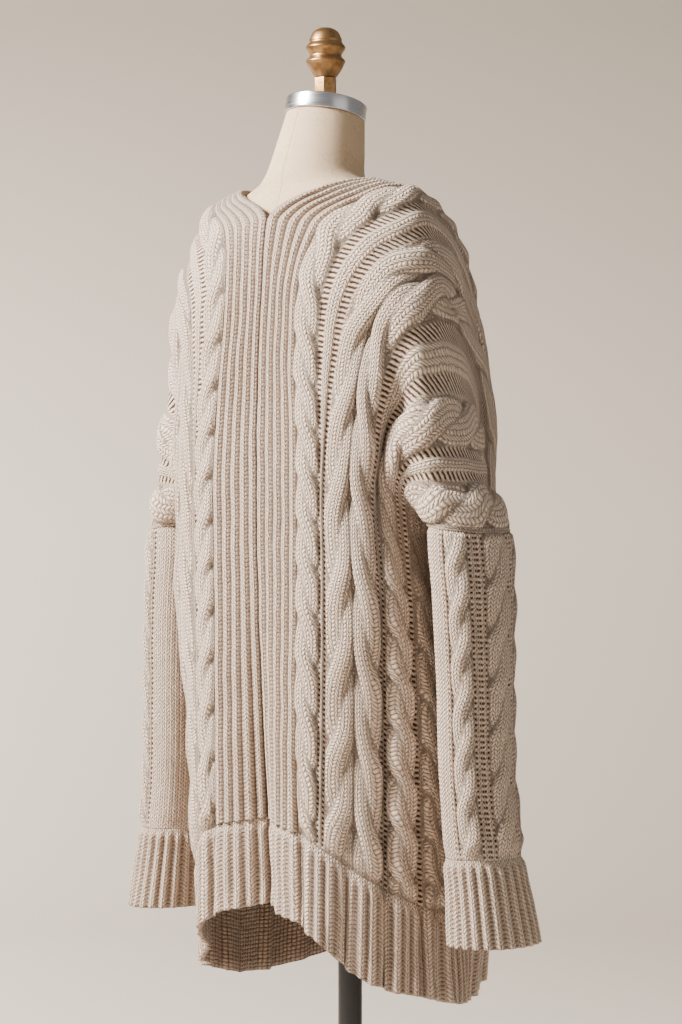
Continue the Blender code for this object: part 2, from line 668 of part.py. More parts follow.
def build_stand():
    """Cap, nut and finial on the neck; pole and base below the torso."""
    cap_top = CAP_MIDDLE + CAP_HEIGHT / 2
    build_disc("neck_cap", CAP_RADIUS, CAP_HEIGHT, (0, NECK_BACK, CAP_MIDDLE), CAP_TILT, 32,
               "steel")
    nut_seat = cap_top + NUT_RADIUS * math.tan(CAP_TILT) + 2 * TOUCH
    build_disc("finial_nut", NUT_RADIUS, NUT_HEIGHT, (0, NECK_BACK, nut_seat + NUT_HEIGHT / 2),
               0.0, 6, "brass")
    build_turned("finial", FINIAL_PROFILE, 16,
                 (0, NECK_BACK, nut_seat + NUT_HEIGHT + TOUCH), "brass")
    pole_foot = BASE_HEIGHT + TOUCH
    pole_top = FORM_SLICES[0].height - TOUCH
    build_disc("stand_pole", POLE_RADIUS, pole_top - pole_foot,
               (0, 0, (pole_foot + pole_top) / 2), 0.0, 24, "black_metal")
    build_turned("stand_base", BASE_PROFILE, 24, (0, 0, 0), "black_metal")


def main():
    """Builds every piece in one collection."""
    for old in list(bpy.data.objects):
        bpy.data.objects.remove(old)
    group = bpy.data.collections.new("cable_cardigan")
    bpy.context.scene.collection.children.link(group)
    for side in (1, -1):
        build_panel(side)
        build_hem_band("hem_back", float(BACK_BAND), 0.0, side)
        build_hem_band("hem_front", float(FRONT_BAND), float(LAST), side)
        build_sleeve(side)
        build_cuff(side)
    build_form()
    build_stand()


main()
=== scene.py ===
"""Looks of an oversized cable-knit chenille cardigan on a linen dress form with a pole stand.

Metres, +Z up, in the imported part's own frame: the open front faces -Y, the wearer's left is
+X, and the origin is the centre of the stand's underside. Every cloth piece is a thin wall
worked out on a grid, with its cables, ribs and ladders raised in the outer points.
"""

import math
from collections import namedtuple

import bpy
import numpy as np
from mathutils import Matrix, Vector


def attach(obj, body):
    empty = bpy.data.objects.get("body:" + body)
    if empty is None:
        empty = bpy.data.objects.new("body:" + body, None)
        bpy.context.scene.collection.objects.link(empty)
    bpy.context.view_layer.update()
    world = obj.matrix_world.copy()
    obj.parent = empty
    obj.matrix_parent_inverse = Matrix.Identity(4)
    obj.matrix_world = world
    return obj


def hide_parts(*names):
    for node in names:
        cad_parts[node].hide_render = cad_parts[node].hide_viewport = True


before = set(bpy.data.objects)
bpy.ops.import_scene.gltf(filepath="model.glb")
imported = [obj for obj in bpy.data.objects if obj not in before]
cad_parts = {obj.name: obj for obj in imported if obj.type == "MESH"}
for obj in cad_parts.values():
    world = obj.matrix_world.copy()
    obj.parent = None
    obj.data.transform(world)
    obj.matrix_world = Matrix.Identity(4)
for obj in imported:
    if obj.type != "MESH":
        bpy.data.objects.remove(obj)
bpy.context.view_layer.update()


# ---- The four panels -----------------------------------------------------------------------
# Each half of the cardigan is knitted in one run of thick cotton chenille, from the back hem
# over the shoulder to the front hem, and its cables follow that run. The two halves are
# joined at the centre back; each node is the back or the front of one half.

Section = namedtuple("Section", "name inner blade flank pit edge")
SECTIONS = (
    Section("back hem", (0, 0.156, 0.508), (0.078, 0.178, 0.486), (0.131, 0.127, 0.424),
            (0.168, 0.075, 0.404), (0.180, 0.010, 0.387)),
    Section("back band", (0, 0.162, 0.612), (0.078, 0.176, 0.594), (0.137, 0.131, 0.545),
            (0.169, 0.078, 0.514), (0.174, 0.016, 0.496)),
    Section("back knee", (0, 0.168, 0.750), (0.080, 0.175, 0.745), (0.141, 0.136, 0.730),
            (0.172, 0.088, 0.712), (0.170, 0.026, 0.700)),
    Section("back hip", (0, 0.171, 0.880), (0.082, 0.174, 0.878), (0.148, 0.147, 0.870),
            (0.172, 0.099, 0.856), (0.169, 0.038, 0.840)),
    Section("back waist", (0, 0.172, 1.000), (0.083, 0.175, 1.000), (0.143, 0.151, 0.992),
            (0.161, 0.106, 0.980), (0.1805, 0.050, 0.965)),
    Section("back rib cage", (0, 0.172, 1.080), (0.084, 0.173, 1.080), (0.148, 0.151, 1.062),
            (0.177, 0.122, 1.022), (0.190, 0.087, 0.964)),
    Section("back blades", (0, 0.169, 1.165), (0.085, 0.169, 1.162), (0.152, 0.144, 1.135),
            (0.190, 0.121, 1.040), (0.214, 0.107, 0.961)),
    Section("back yoke", (0, 0.163, 1.255), (0.092, 0.159, 1.250), (0.165, 0.136, 1.185),
            (0.208, 0.120, 1.050), (0.238, 0.103, 0.958)),
    Section("neck point", (0, 0.154, 1.334), (0.118, 0.138, 1.308), (0.182, 0.122, 1.218),
            (0.218, 0.108, 1.055), (0.250, 0.091, 0.956)),
    Section("back neck", (0.058, 0.133, 1.367), (0.152, 0.108, 1.335), (0.193, 0.103, 1.228),
            (0.223, 0.092, 1.055), (0.259, 0.070, 0.9555)),
    Section("shoulder", (0.096, 0.074, 1.378), (0.165, 0.070, 1.348), (0.196, 0.078, 1.235),
            (0.225, 0.070, 1.055), (0.2615, 0.050, 0.955)),
    Section("front neck", (0.096, -0.008, 1.360), (0.150, 0.002, 1.330), (0.187, 0.036, 1.228),
            (0.222, 0.045, 1.052), (0.259, 0.030, 0.9555)),
    Section("collar bone", (0.089, -0.066, 1.318), (0.130, -0.056, 1.298), (0.169, -0.006, 1.212),
            (0.213, 0.017, 1.050), (0.252, 0.013, 0.956)),
    Section("chest", (0.078, -0.110, 1.245), (0.115, -0.103, 1.232), (0.156, -0.055, 1.170),
            (0.197, -0.007, 1.045), (0.238, -0.003, 0.958)),
    Section("bust", (0.068, -0.134, 1.162), (0.107, -0.129, 1.155), (0.149, -0.084, 1.115),
            (0.180, -0.023, 1.030), (0.214, -0.007, 0.961)),
    Section("front ribs", (0.060, -0.139, 1.080), (0.101, -0.137, 1.072), (0.146, -0.096, 1.048),
            (0.170, -0.030, 1.005), (0.190, 0.013, 0.964)),
    Section("front waist", (0.054, -0.139, 0.995), (0.099, -0.138, 0.990), (0.142, -0.098, 0.984),
            (0.157, -0.034, 0.974), (0.1805, 0.050, 0.965)),
    Section("front hip", (0.048, -0.141, 0.860), (0.098, -0.142, 0.860), (0.145, -0.104, 0.856),
            (0.170, -0.042, 0.848), (0.169, 0.038, 0.840)),
    Section("front knee", (0.046, -0.144, 0.708), (0.098, -0.147, 0.706), (0.146, -0.108, 0.704),
            (0.170, -0.048, 0.702), (0.170, 0.026, 0.700)),
    Section("front band", (0.045, -0.134, 0.546), (0.097, -0.136, 0.529), (0.141, -0.101, 0.512),
            (0.168, -0.043, 0.499), (0.174, 0.016, 0.496)),
    Section("front hem", (0.044, -0.121, 0.438), (0.095, -0.121, 0.418), (0.136, -0.090, 0.401),
            (0.165, -0.034, 0.389), (0.180, 0.010, 0.387)),
)
BACK_BAND, BACK_ARMPIT, NECK_POINT, SHOULDER, FRONT_ARMPIT, FRONT_BAND = 1, 4, 8, 10, 16, 19
LAST = len(SECTIONS) - 1
STATIONS = np.array([section[1:] for section in SECTIONS], float)

# The armhole is a nearly level ring round the upper arm, blunt at the underarm.
ARM_ANGLES = (0, 40, 80, 115, 135, 160, 180, 200, 220, 245, 280, 320, 360)
ARM_CENTRE = (0.2210, 0.050)
ARM_HALF_SIZE = (0.0405, 0.058)
ARMPIT_HEIGHT = 0.965
ARM_DROP = 0.010
ARM_TIP = 0.012

# Knitting across a panel from the inner edge out: where each band ends at the hip and at the
# yoke, its pattern, and how many wales of stitches it has.
Band = namedtuple("Band", "name hip yoke pattern wales")
BANDS = (
    Band("centre ribs", 0.200, 0.155, "ribs", 10),
    Band("first cable", 0.300, 0.250, "rope", 6),
    Band("first ladder", 0.330, 0.370, "ladder", 5),
    Band("wide cable", 0.555, 0.540, "horseshoe", 14),
    Band("second ladder", 0.610, 0.660, "ladder", 5),
    Band("third cable", 0.740, 0.745, "rope", 6),
    Band("third ladder", 0.805, 0.835, "ladder", 5),
    Band("outer cable", 0.960, 0.985, "rope", 6),
    Band("seam edge", 1.000, 1.000, "plain", 2),
)
Fold = namedtuple("Fold", "name across half_width depth start end")
FOLDS = (
    Fold("centre back", 0.00, 0.10, 0.011, -3.0, 4.0),
    Fold("beside wide cable", 0.585, 0.065, 0.015, -1.8, 4.2),
    Fold("back armpit", 0.620, 0.085, 0.021, 3.2, 8.4),
    Fold("side", 0.775, 0.050, 0.012, -1.0, 4.6),
    Fold("front armpit", 0.600, 0.090, 0.008, 11.8, 16.6),
    Fold("front panel", 0.600, 0.080, 0.010, 15.5, 22.0),
    Fold("front edge", 0.315, 0.045, 0.007, 15.0, 22.0),
    Fold("hem beside ribs", 0.225, 0.060, 0.013, -2.2, 2.4),
    Fold("hem at wide cable", 0.420, 0.055, 0.011, -2.6, 1.9),
    Fold("hem at side", 0.880, 0.060, 0.012, -2.4, 2.2),
    Fold("front hem inner", 0.160, 0.055, 0.008, 17.9, 22.4),
    Fold("front hem outer", 0.800, 0.060, 0.012, 17.4, 22.6),
    Fold("shoulder slit", 0.505, 0.035, 0.011, 10.1, 12.1),
    Fold("yoke at arm", 0.860, 0.045, 0.007, 5.4, 10.8),
    Fold("front yoke at arm", 0.860, 0.045, 0.007, 10.2, 14.6),
)

WALL = 0.0040
SEAM_HALF_GAP = 0.00004
CABLE_HEIGHT = 0.0088
RIB_HEIGHT = 0.0042
LADDER_WALE_HEIGHT = 0.0026
ROPE_CROSSING = 0.057
WIDE_CROSSING = 0.098
COURSE = 0.0050  # height of one row of stitches
STITCH_FADE = 0.020
ROW_STEP = 0.0026
WALE_STEPS = 3  # mesh columns to a wale
LINING_STEP = 6  # the lining keeps one row or column in this many
PLAIN_WALE_HEIGHT = 0.0015
LADDER_RIDGE = 0.44  # half width of a ladder's middle wale, as a share of half the band
STRAND_SWING = 0.42  # how far a strand's middle strays, as a share of half the cable
STRAND_HALF_WIDTH = 0.76
PATTERN_KEYS = ("height", "wale", "purl", "ladder")
HOLLOW_BELOW = 0.45  # share of a cable's height under which its band gets painted shade
HOLLOW_START = 0.35
# How dark the painted shade in the cable hollows grows at most
HOLLOW_PAINTED_SHADE = 0.8
# How dark the painted shade in the centre ribs' purl grooves is
GROOVE_PAINTED_SHADE = 0.75
PANEL_UNEVENNESS = 0.0014
LENGTH_PLACE = 0.35  # and its rows are spread by the length of the line at this place
FINE_ROWS = 721


def smoothstep(x):
    """0 below 0, 1 above 1, with a soft S between."""
    x = np.clip(x, 0.0, 1.0)
    return x * x * (3.0 - 2.0 * x)


def unit(vectors):
    """Vectors scaled to length 1."""
    return vectors / np.maximum(np.linalg.norm(vectors, axis=-1, keepdims=True), 1e-12)


def through(keys, at):
    """A Catmull-Rom curve through equally spaced keys (first axis), read at positions at."""
    keys = np.asarray(keys, float)
    slopes = np.gradient(keys, axis=0)
    low = np.clip(np.floor(at).astype(int), 0, len(keys) - 2)
    x = (at - low).reshape(at.shape + (1,) * (keys.ndim - 1))
    rise = keys[low + 1] - keys[low]
    a, b = slopes[low], slopes[low + 1]
    return keys[low] + x * a + x**2 * (3 * rise - 2 * a - b) + x**3 * (a + b - 2 * rise)


def across(rows, places):
    """The same curve across each row: rows is (rows, stations, 3), places (rows, columns)."""
    slopes = np.gradient(rows, axis=1)
    low = np.clip(np.floor(places).astype(int), 0, rows.shape[1] - 2)
    x = (places - low)[..., None]
    line = np.arange(len(rows))[:, None]
    start, end = rows[line, low], rows[line, low + 1]
    a, b = slopes[line, low], slopes[line, low + 1]
    rise = end - start
    return start + x * a + x**2 * (3 * rise - 2 * a - b) + x**3 * (a + b - 2 * rise)


def arm_angle(q):
    """The armhole's angle in radians at section positions q."""
    return np.radians(np.interp(q, range(BACK_ARMPIT, FRONT_ARMPIT + 1), ARM_ANGLES))


def armhole(angle):
    """An ellipse of centre ARM_CENTRE, lower on its outer side, drawn in at the underarm."""
    tip = ARM_TIP * np.abs(np.sin(angle)) * (1.0 + np.cos(angle)) / 2.0
    return np.stack([
        ARM_CENTRE[0] - ARM_HALF_SIZE[0] * np.cos(angle) + tip,
        ARM_CENTRE[1] + ARM_HALF_SIZE[1] * np.sin(angle),
        ARMPIT_HEIGHT - ARM_DROP * (1.0 - np.cos(angle)) / 2.0,
    ], axis=-1)


def edge_line(q):
    """A panel's outer edge: the side seam up to the armpit, then the armhole ring."""
    seam_q = np.minimum(np.minimum(q, LAST - q), float(BACK_ARMPIT))
    seam = through(STATIONS[:BACK_ARMPIT + 1, 4], seam_q)
    on_arm = (q > BACK_ARMPIT) & (q < FRONT_ARMPIT)
    return np.where(on_arm[:, None], armhole(arm_angle(q)), seam)


def grid_normals(points, wrap=False):
    """Outward normals from the grid's own steps up its rows and across its columns."""
    up = np.gradient(points, axis=0)
    if wrap:
        along = np.roll(points, -1, axis=1) - np.roll(points, 1, axis=1)
    else:
        along = np.gradient(points, axis=1)
    return unit(np.cross(up, along))


def cloth_middle(q, u):
    """The folded cloth's middle: stations joined by smooth curves both ways, its outer edge
    drawn to the seam line, and then each fold sunk along the normal by a raised cosine."""
    rows = through(STATIONS, q)
    points = across(rows, u * 4.0)
    pull = smoothstep((u - 0.78) / 0.22)[..., None]
    points = points + pull * (edge_line(q) - rows[:, 4])[:, None, :]
    off_centre = np.where(q < NECK_POINT + 1e-6, -rows[:, 0, 0], 0.0)
    points[..., 0] += smoothstep((0.20 - u) / 0.20) * off_centre[:, None]
    depth = np.zeros(u.shape)
    for fold in FOLDS:
        along = (q - fold.start) / (fold.end - fold.start)
        run = np.where((along > 0) & (along < 1), np.sin(np.pi * np.clip(along, 0, 1))**2, 0.0)
        reach = np.clip(np.abs(u - fold.across) / fold.half_width, 0.0, 1.0)
        depth += fold.depth * run[:, None] * (0.5 + 0.5 * np.cos(np.pi * reach))
    return points - depth[..., None] * grid_normals(points)


def run_along(points):
    """Length along each column of a grid from its first row."""
    steps = np.linalg.norm(np.diff(points, axis=0), axis=-1)
    return np.concatenate([np.zeros((1, points.shape[1])), np.cumsum(steps, axis=0)])


def across_band(degrees, start, end):
    """Places from -1 to 1 across a band of a tube."""
    return 2.0 * (degrees - start) / (end - start) - 1.0


def two_strands(x, turns, wales):
    """A rope of two strands, x from -1 to 1 across it and turns counting its crossings. Each
    strand's middle swings as the cosine of the twist and its top lifts as the sine. Gives the
    height from 0 to 1 and the wale under each point, counted from the band's middle."""
    whole = np.floor(turns)
    twist = np.pi * (whole + 0.5 * (turns - whole) + 0.5 * smoothstep(turns - whole))
    best = np.zeros(np.broadcast(x, turns).shape)
    wale = np.zeros(best.shape)
    for strand in (0.0, np.pi):
        middle = STRAND_SWING * np.cos(twist + strand)
        lift = 0.66 + 0.34 * np.sin(twist + strand)
        offset = (x - middle) / STRAND_HALF_WIDTH
        top = lift * np.clip(1.0 - np.abs(offset)**2.8, 0.0, 1.0)**0.6
        wale = np.where(top > best, offset * wales / 4.0 + strand, wale)
        best = np.maximum(best, top)
    return best, wale


def knit_pattern(x, turns, pattern, wales):
    """Height in metres, wale coordinate, and the shares of purl and of open ladder, for a
    band crossed by x from -1 to 1."""
    flat = np.zeros(np.broadcast(x, turns).shape)
    wale = flat + (x + 1.0) / 2.0 * wales
    if pattern == "ribs":
        phase = 0.5 - 0.5 * np.cos(2 * np.pi * wale / 2.0)
        return RIB_HEIGHT * phase**0.8 + flat, wale, 1.0 - smoothstep((phase - 0.15) / 0.4), flat
    if pattern == "ladder":
        ridge = np.clip(1.0 - (np.abs(x) / LADDER_RIDGE)**2, 0.0, 1.0)
        gap = smoothstep((np.abs(x) - 0.34) / 0.12) * smoothstep((0.96 - np.abs(x)) / 0.12)
        return LADDER_WALE_HEIGHT * np.sqrt(ridge) + flat, wale, flat, gap + flat
    if pattern == "plain":
        return PLAIN_WALE_HEIGHT * np.abs(np.sin(np.pi * wale)), wale, flat, flat
    crossing = WIDE_CROSSING if pattern == "horseshoe" else ROPE_CROSSING
    strands = turns / crossing
    if pattern == "horseshoe":
        height, wale = two_strands(2.0 * np.abs(x)**0.85 - 1.0, strands, wales / 2.0)
        wale = wale * np.sign(x + 1e-9)
    else:
        height, wale = two_strands(x + flat, strands, wales)
    return CABLE_HEIGHT * height, wale, flat, flat


def yoke_share(q):
    """0 below the armpit and 1 from the blades up, back and front."""
    inside = np.minimum(q - BACK_ARMPIT, FRONT_ARMPIT - q)
    return smoothstep(inside / 3.5)


def panel_columns(q):
    """Places across the panel of the mesh columns, per row, with the band of each column."""
    share = yoke_share(q)[:, None]
    columns, owners, start = [np.zeros((len(q), 1))], [0], np.zeros((len(q), 1))
    for index, band in enumerate(BANDS):
        end = band.hip + (band.yoke - band.hip) * share
        steps = WALE_STEPS * band.wales
        columns.append(start + (end - start) * (np.arange(1, steps + 1) / steps))
        owners += [index] * steps
        start = end
    return np.concatenate(columns, axis=1), np.array(owners)


def unevenness(points, size):
    """Hand-made irregularity: a sum of slow sine waves through space, up to size."""
    x, y, z = (points[..., k] for k in range(3))
    wave = np.sin(47 * x + 31 * z + 0.7) * np.sin(38 * y - 23 * z + 1.9)
    wave += 0.6 * np.sin(83 * z + 55 * x) * np.sin(71 * x - 64 * y + 0.4)
    wave += 0.35 * np.sin(163 * z - 120 * y + 2.2) * np.sin(141 * x + 90 * z)
    return size * wave / 1.95


def stitch_mesh(name, outer, inner, row_marks, column_marks, facts, flip, wrap=False):
    """A closed wall from a fine outer grid and an inner grid kept at the marked rows and
    columns, with fans of triangles round the rims. facts holds the outer grid's wale, course,
    purl, ladder and depth values, depth being painted shade; the lining is all purl, with
    painted shade over it."""
    rows, columns = outer.shape[:2]
    fine = np.arange(rows * columns).reshape(rows, columns)
    coarse_points = inner[np.ix_(row_marks, column_marks)]
    coarse = rows * columns + np.arange(coarse_points.shape[0] * coarse_points.shape[1])
    coarse = coarse.reshape(coarse_points.shape[:2])
    marks_r, marks_c = np.array(row_marks), np.array(column_marks)
    if wrap:
        fine = np.concatenate([fine, fine[:, :1]], axis=1)
        coarse = np.concatenate([coarse, coarse[:, :1]], axis=1)
        marks_c = np.append(marks_c, columns)

    def quads(grid, turned):
        a, b, c, d = grid[:-1, :-1], grid[:-1, 1:], grid[1:, 1:], grid[1:, :-1]
        order = (a, d, c, b) if turned else (a, b, c, d)
        return np.stack(order, axis=-1).reshape(-1, 4)

    def rim(chain, marked, marks, turned):
        middle = (marks[:-1] + marks[1:]) // 2
        steps = np.arange(len(chain) - 1)
        segment = np.searchsorted(marks, steps, side="right") - 1
        owner = segment + (steps >= middle[segment])
        fans = np.stack([chain[:-1], chain[1:], marked[owner]], axis=-1)
        caps = np.stack([chain[middle], marked[1:], marked[:-1]], axis=-1)
        faces = np.concatenate([fans, caps])
        return faces[:, ::-1] if turned else faces

    four = np.concatenate([quads(fine, not flip), quads(coarse, flip)])
    three = [rim(fine[0], coarse[0], marks_c, flip), rim(fine[-1], coarse[-1], marks_c, not flip)]
    if not wrap:
        three += [rim(fine[:, 0], coarse[:, 0], marks_r, not flip),
                  rim(fine[:, -1], coarse[:, -1], marks_r, flip)]
    three = np.concatenate(three)
    mesh = bpy.data.meshes.new(name)
    points = np.concatenate([outer.reshape(-1, 3), coarse_points.reshape(-1, 3)])
    mesh.from_pydata(points.tolist(), [], four.tolist() + three.tolist())
    smooth = np.arange(len(mesh.polygons)) < len(four)  # the rims keep a crisp corner
    mesh.polygons.foreach_set("use_smooth", smooth)
    corner = np.zeros(len(mesh.loops), np.int32)
    mesh.loops.foreach_get("vertex_index", corner)
    kept = np.ix_(row_marks, column_marks)
    # The lining's depth paints shade all over the inner wall
    lining = {"purl": 1.0, "ladder": 0.0, "depth": 0.75}
    values = {key: np.concatenate([
        facts[key].ravel(),
        (facts[key][kept] if key in ("wale", "course") else
         np.full(coarse_points.shape[:2], lining[key])).ravel(),
    ]) for key in ("wale", "course", "purl", "ladder", "depth")}
    layer = mesh.uv_layers.new(name="knit")
    stitches = np.stack([values["wale"], values["course"]], axis=-1)[corner]
    layer.data.foreach_set("uv", stitches.astype(np.float32).ravel())
    for key in ("purl", "ladder", "depth"):
        attribute = mesh.attributes.new(key, "FLOAT", "POINT")
        attribute.data.foreach_set("value", values[key].astype(np.float32))
    mesh.update()
    made = bpy.data.objects.new(name, mesh)
    bpy.context.scene.collection.objects.link(made)
    return made


def sided(points, side):
    """Points placed on the wearer's left (1) or right (-1)."""
    return points * np.array([side, 1.0, 1.0])


def marks_to(count, step):
    """Every step-th index up to count, with count itself."""
    return sorted(set(range(0, count + 1, step)) | {count})


def add_group(name, inputs, outputs):
    """An empty shader node group with those sockets: (name, kind, default)."""
    group = bpy.data.node_groups.new(name, "ShaderNodeTree")
    for label, kind, value in inputs:
        socket = group.interface.new_socket(label, in_out="INPUT", socket_type=kind)
        if value is not None:
            socket.default_value = value
    for label, kind in outputs:
        group.interface.new_socket(label, in_out="OUTPUT", socket_type=kind)
    return group, group.nodes.new("NodeGroupInput"), group.nodes.new("NodeGroupOutput")


def maths(tree, operation, *inputs, clamp=False):
    """A Math node; each input is a number or a socket. Gives its output."""
    node = tree.nodes.new("ShaderNodeMath")
    node.operation = operation
    node.use_clamp = clamp
    for socket, value in zip(node.inputs, inputs):
        if isinstance(value, (int, float)):
            socket.default_value = value
        else:
            tree.links.new(value, socket)
    return node.outputs[0]


def noise(tree, vector, scale, detail, rough=0.5):
    """A Noise texture's factor on a vector socket."""
    node = tree.nodes.new("ShaderNodeTexNoise")
    node.inputs["Scale"].default_value = scale
    node.inputs["Detail"].default_value = detail
    node.inputs["Roughness"].default_value = rough
    tree.links.new(vector, node.inputs["Vector"])
    return node.outputs["Fac"]


def ramp(tree, factor, stops):
    """A colour ramp through (place, colour) stops."""
    node = tree.nodes.new("ShaderNodeValToRGB")
    while len(node.color_ramp.elements) < len(stops):
        node.color_ramp.elements.new(0.5)
    for element, (place, colour) in zip(node.color_ramp.elements, stops):
        element.position = place
        element.color = (*colour, 1.0)
    tree.links.new(factor, node.inputs["Fac"])
    return node.outputs["Color"]


def knit_group():
    """Stitches from the wale and course coordinates. A knit stitch is a V of two yarn legs
    that lean away from the wale's middle; a purl is a low bump across two wales; an open
    ladder is a row of rungs with low slots between. It also gives how far each point lies
    below the stitch tops, from which the material paints shade between the stitches and in
    the slots."""
    group, given, result = add_group(
        "chenille stitches",
        [("Stitch", "NodeSocketVector", None), ("Place", "NodeSocketVector", None),
         ("Purl", "NodeSocketFloat", 0.0), ("Ladder", "NodeSocketFloat", 0.0)],
        [("Height", "NodeSocketFloat"), ("Painted Gap Shade", "NodeSocketFloat"), ("Nap", "NodeSocketFloat")])
    split = group.nodes.new("ShaderNodeSeparateXYZ")
    group.links.new(given.outputs["Stitch"], split.inputs[0])
    wale, course = split.outputs[0], split.outputs[1]
    place = given.outputs["Place"]
    wobble = maths(group, "MULTIPLY", maths(group, "SUBTRACT", noise(group, place, 210, 1), 0.5), 0.5)
    wale = maths(group, "ADD", wale, maths(group, "MULTIPLY", wobble, 0.6))
    course = maths(group, "ADD", course, wobble)
    from_middle = maths(group, "ABSOLUTE", maths(group, "SUBTRACT",
                                                 maths(group, "FRACT", wale), 0.5))
    leaning = maths(group, "FRACT", maths(group, "SUBTRACT", course,
                                          maths(group, "MULTIPLY", from_middle, 1.7)))
    beside = maths(group, "DIVIDE", maths(group, "SUBTRACT", from_middle, 0.25), 0.27)
    leg = maths(group, "SQRT", maths(group, "SUBTRACT", 1.0,
                                     maths(group, "MULTIPLY", beside, beside), clamp=True))
    swell = maths(group, "SQRT", maths(group, "SINE", maths(group, "MULTIPLY", leaning, math.pi)))
    knit = maths(group, "MULTIPLY", leg, maths(group, "MULTIPLY_ADD", swell, 0.88, 0.12))
    bump = maths(group, "ABSOLUTE", maths(group, "SINE", maths(group, "MULTIPLY", course, math.pi)))
    dots = maths(group, "ABSOLUTE", maths(group, "SINE", maths(group, "MULTIPLY", wale, math.pi)))
    purl = maths(group, "MULTIPLY_ADD", maths(group, "MULTIPLY", bump, dots), 0.62, 0.03)
    rung = maths(group, "MULTIPLY_ADD", maths(group, "ABSOLUTE", maths(
        group, "SINE", maths(group, "MULTIPLY", course, math.pi * 0.78))), 1.75, -0.62, clamp=True)

    def blend(first, second, share):
        node = group.nodes.new("ShaderNodeMix")
        group.links.new(share, node.inputs["Factor"])
        group.links.new(first, node.inputs["A"])
        group.links.new(second, node.inputs["B"])
        return node.outputs["Result"]

    height = blend(knit, purl, given.outputs["Purl"])
    height = blend(height, maths(group, "MULTIPLY", rung, 0.8), given.outputs["Ladder"])
    fuzz = noise(group, place, 1500, 4, 0.65)
    tufts = noise(group, place, 520, 2, 0.6)
    nap = maths(group, "MULTIPLY_ADD", tufts, 0.6, maths(group, "MULTIPLY", fuzz, 0.4))
    total = maths(group, "MULTIPLY_ADD", nap, 0.38, height)
    # How far a point lies below the stitch tops; the material paints shade by it
    gap = maths(group, "SUBTRACT", 1.0, maths(group, "DIVIDE", height, 0.90), clamp=True)
    group.links.new(total, result.inputs["Height"])
    group.links.new(gap, result.inputs["Painted Gap Shade"])
    group.links.new(nap, result.inputs["Nap"])
    return group


STITCH_GROUP = knit_group()


def new_material(name, colour, roughness, metallic):
    """A Principled material and its node tree, shader and object-space coordinates."""
    made = bpy.data.materials.new(name)
    made.use_nodes = True
    tree = made.node_tree
    shader = tree.nodes["Principled BSDF"]
    shader.inputs["Base Color"].default_value = (*colour, 1.0)
    shader.inputs["Roughness"].default_value = roughness
    shader.inputs["Metallic"].default_value = metallic
    where = tree.nodes.new("ShaderNodeTexCoord").outputs["Object"]
    return made, tree, shader, where


def add_bump(tree, shader, height, distance, strength=1.0):
    """Bump on the shader's normal."""
    bump = tree.nodes.new("ShaderNodeBump")
    bump.inputs["Strength"].default_value = strength
    bump.inputs["Distance"].default_value = distance
    tree.links.new(height, bump.inputs["Height"])
    tree.links.new(bump.outputs["Normal"], shader.inputs["Normal"])


def chenille():
    """Warm oatmeal cotton chenille: napped yarn, painted shade in the hollows of the knitting, soft
    sheen.
    """
    made, tree, shader, where = new_material("oatmeal chenille", (0.76, 0.59, 0.455), 0.95, 0.0)
    stitches = tree.nodes.new("ShaderNodeGroup")
    stitches.node_tree = STITCH_GROUP
    uv = tree.nodes.new("ShaderNodeUVMap")
    uv.uv_map = "knit"
    tree.links.new(uv.outputs["UV"], stitches.inputs["Stitch"])
    tree.links.new(where, stitches.inputs["Place"])
    read = {}
    for key in ("purl", "ladder", "depth"):
        node = tree.nodes.new("ShaderNodeAttribute")
        node.attribute_name = key
        read[key] = node.outputs["Fac"]
    tree.links.new(read["purl"], stitches.inputs["Purl"])
    tree.links.new(read["ladder"], stitches.inputs["Ladder"])
    cloudy = noise(tree, where, 9, 2)
    tone = maths(tree, "MULTIPLY_ADD", cloudy, 0.30, maths(tree, "MULTIPLY",
                                                          stitches.outputs["Nap"], 0.7))
    yarn = ramp(tree, tone, [(0.25, (0.58, 0.415, 0.30)), (0.50, (0.76, 0.59, 0.455)),
                             (0.75, (0.87, 0.71, 0.575))])
    # Painted shade: the yarn colour is multiplied towards dark brown between the stitches and in the
    # ladders' slots, and by the depth attribute in the cable hollows, the rib grooves and on the
    # lining
    shade = maths(tree, "MULTIPLY", stitches.outputs["Painted Gap Shade"],
                  maths(tree, "MULTIPLY_ADD", read["ladder"], 0.05, 0.98), clamp=True)
    shade = maths(tree, "MAXIMUM", shade, maths(tree, "MULTIPLY", read["depth"], 0.78))
    mix = tree.nodes.new("ShaderNodeMix")
    mix.data_type = "RGBA"
    mix.blend_type = "MULTIPLY"
    tree.links.new(shade, mix.inputs["Factor"])
    tree.links.new(yarn, mix.inputs[6])
    mix.inputs[7].default_value = (0.075, 0.038, 0.021, 1.0)
    tree.links.new(mix.outputs[2], shader.inputs["Base Color"])
    add_bump(tree, shader, stitches.outputs["Height"], 0.0030)
    shader.inputs["Specular IOR Level"].default_value = 0.18
    shader.inputs["Sheen Weight"].default_value = 0.28
    shader.inputs["Sheen Roughness"].default_value = 0.45
    shader.inputs["Sheen Tint"].default_value = (0.92, 0.85, 0.78, 1.0)
    return made


CHENILLE = chenille()


def finish_cloth(made, node):
    """Material and frame calls of one cloth piece."""
    made.data.materials.append(CHENILLE)
    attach(made, "root")
    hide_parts(node)


def knit_band(made, mine, values, counted):
    """Puts one band's pattern values into its columns, its wales counted on from counted."""
    for key, value in zip(made, values):
        made[key][:, mine] = value + (counted if key == "wale" else 0.0)


def cable_hollow_shade(height, owners, bands):
    """Painted shade in the cable bands: 0 on the strands, rising where they lie low."""
    cables = [k for k, band in enumerate(bands) if band.pattern in ("rope", "horseshoe")]
    cavity = 1.0 - np.clip(height / (HOLLOW_BELOW * CABLE_HEIGHT), 0.0, 1.0)
    cavity = cavity * np.isin(owners, cables)[None, :]
    return HOLLOW_PAINTED_SHADE * smoothstep((cavity - HOLLOW_START) / (1.0 - HOLLOW_START))


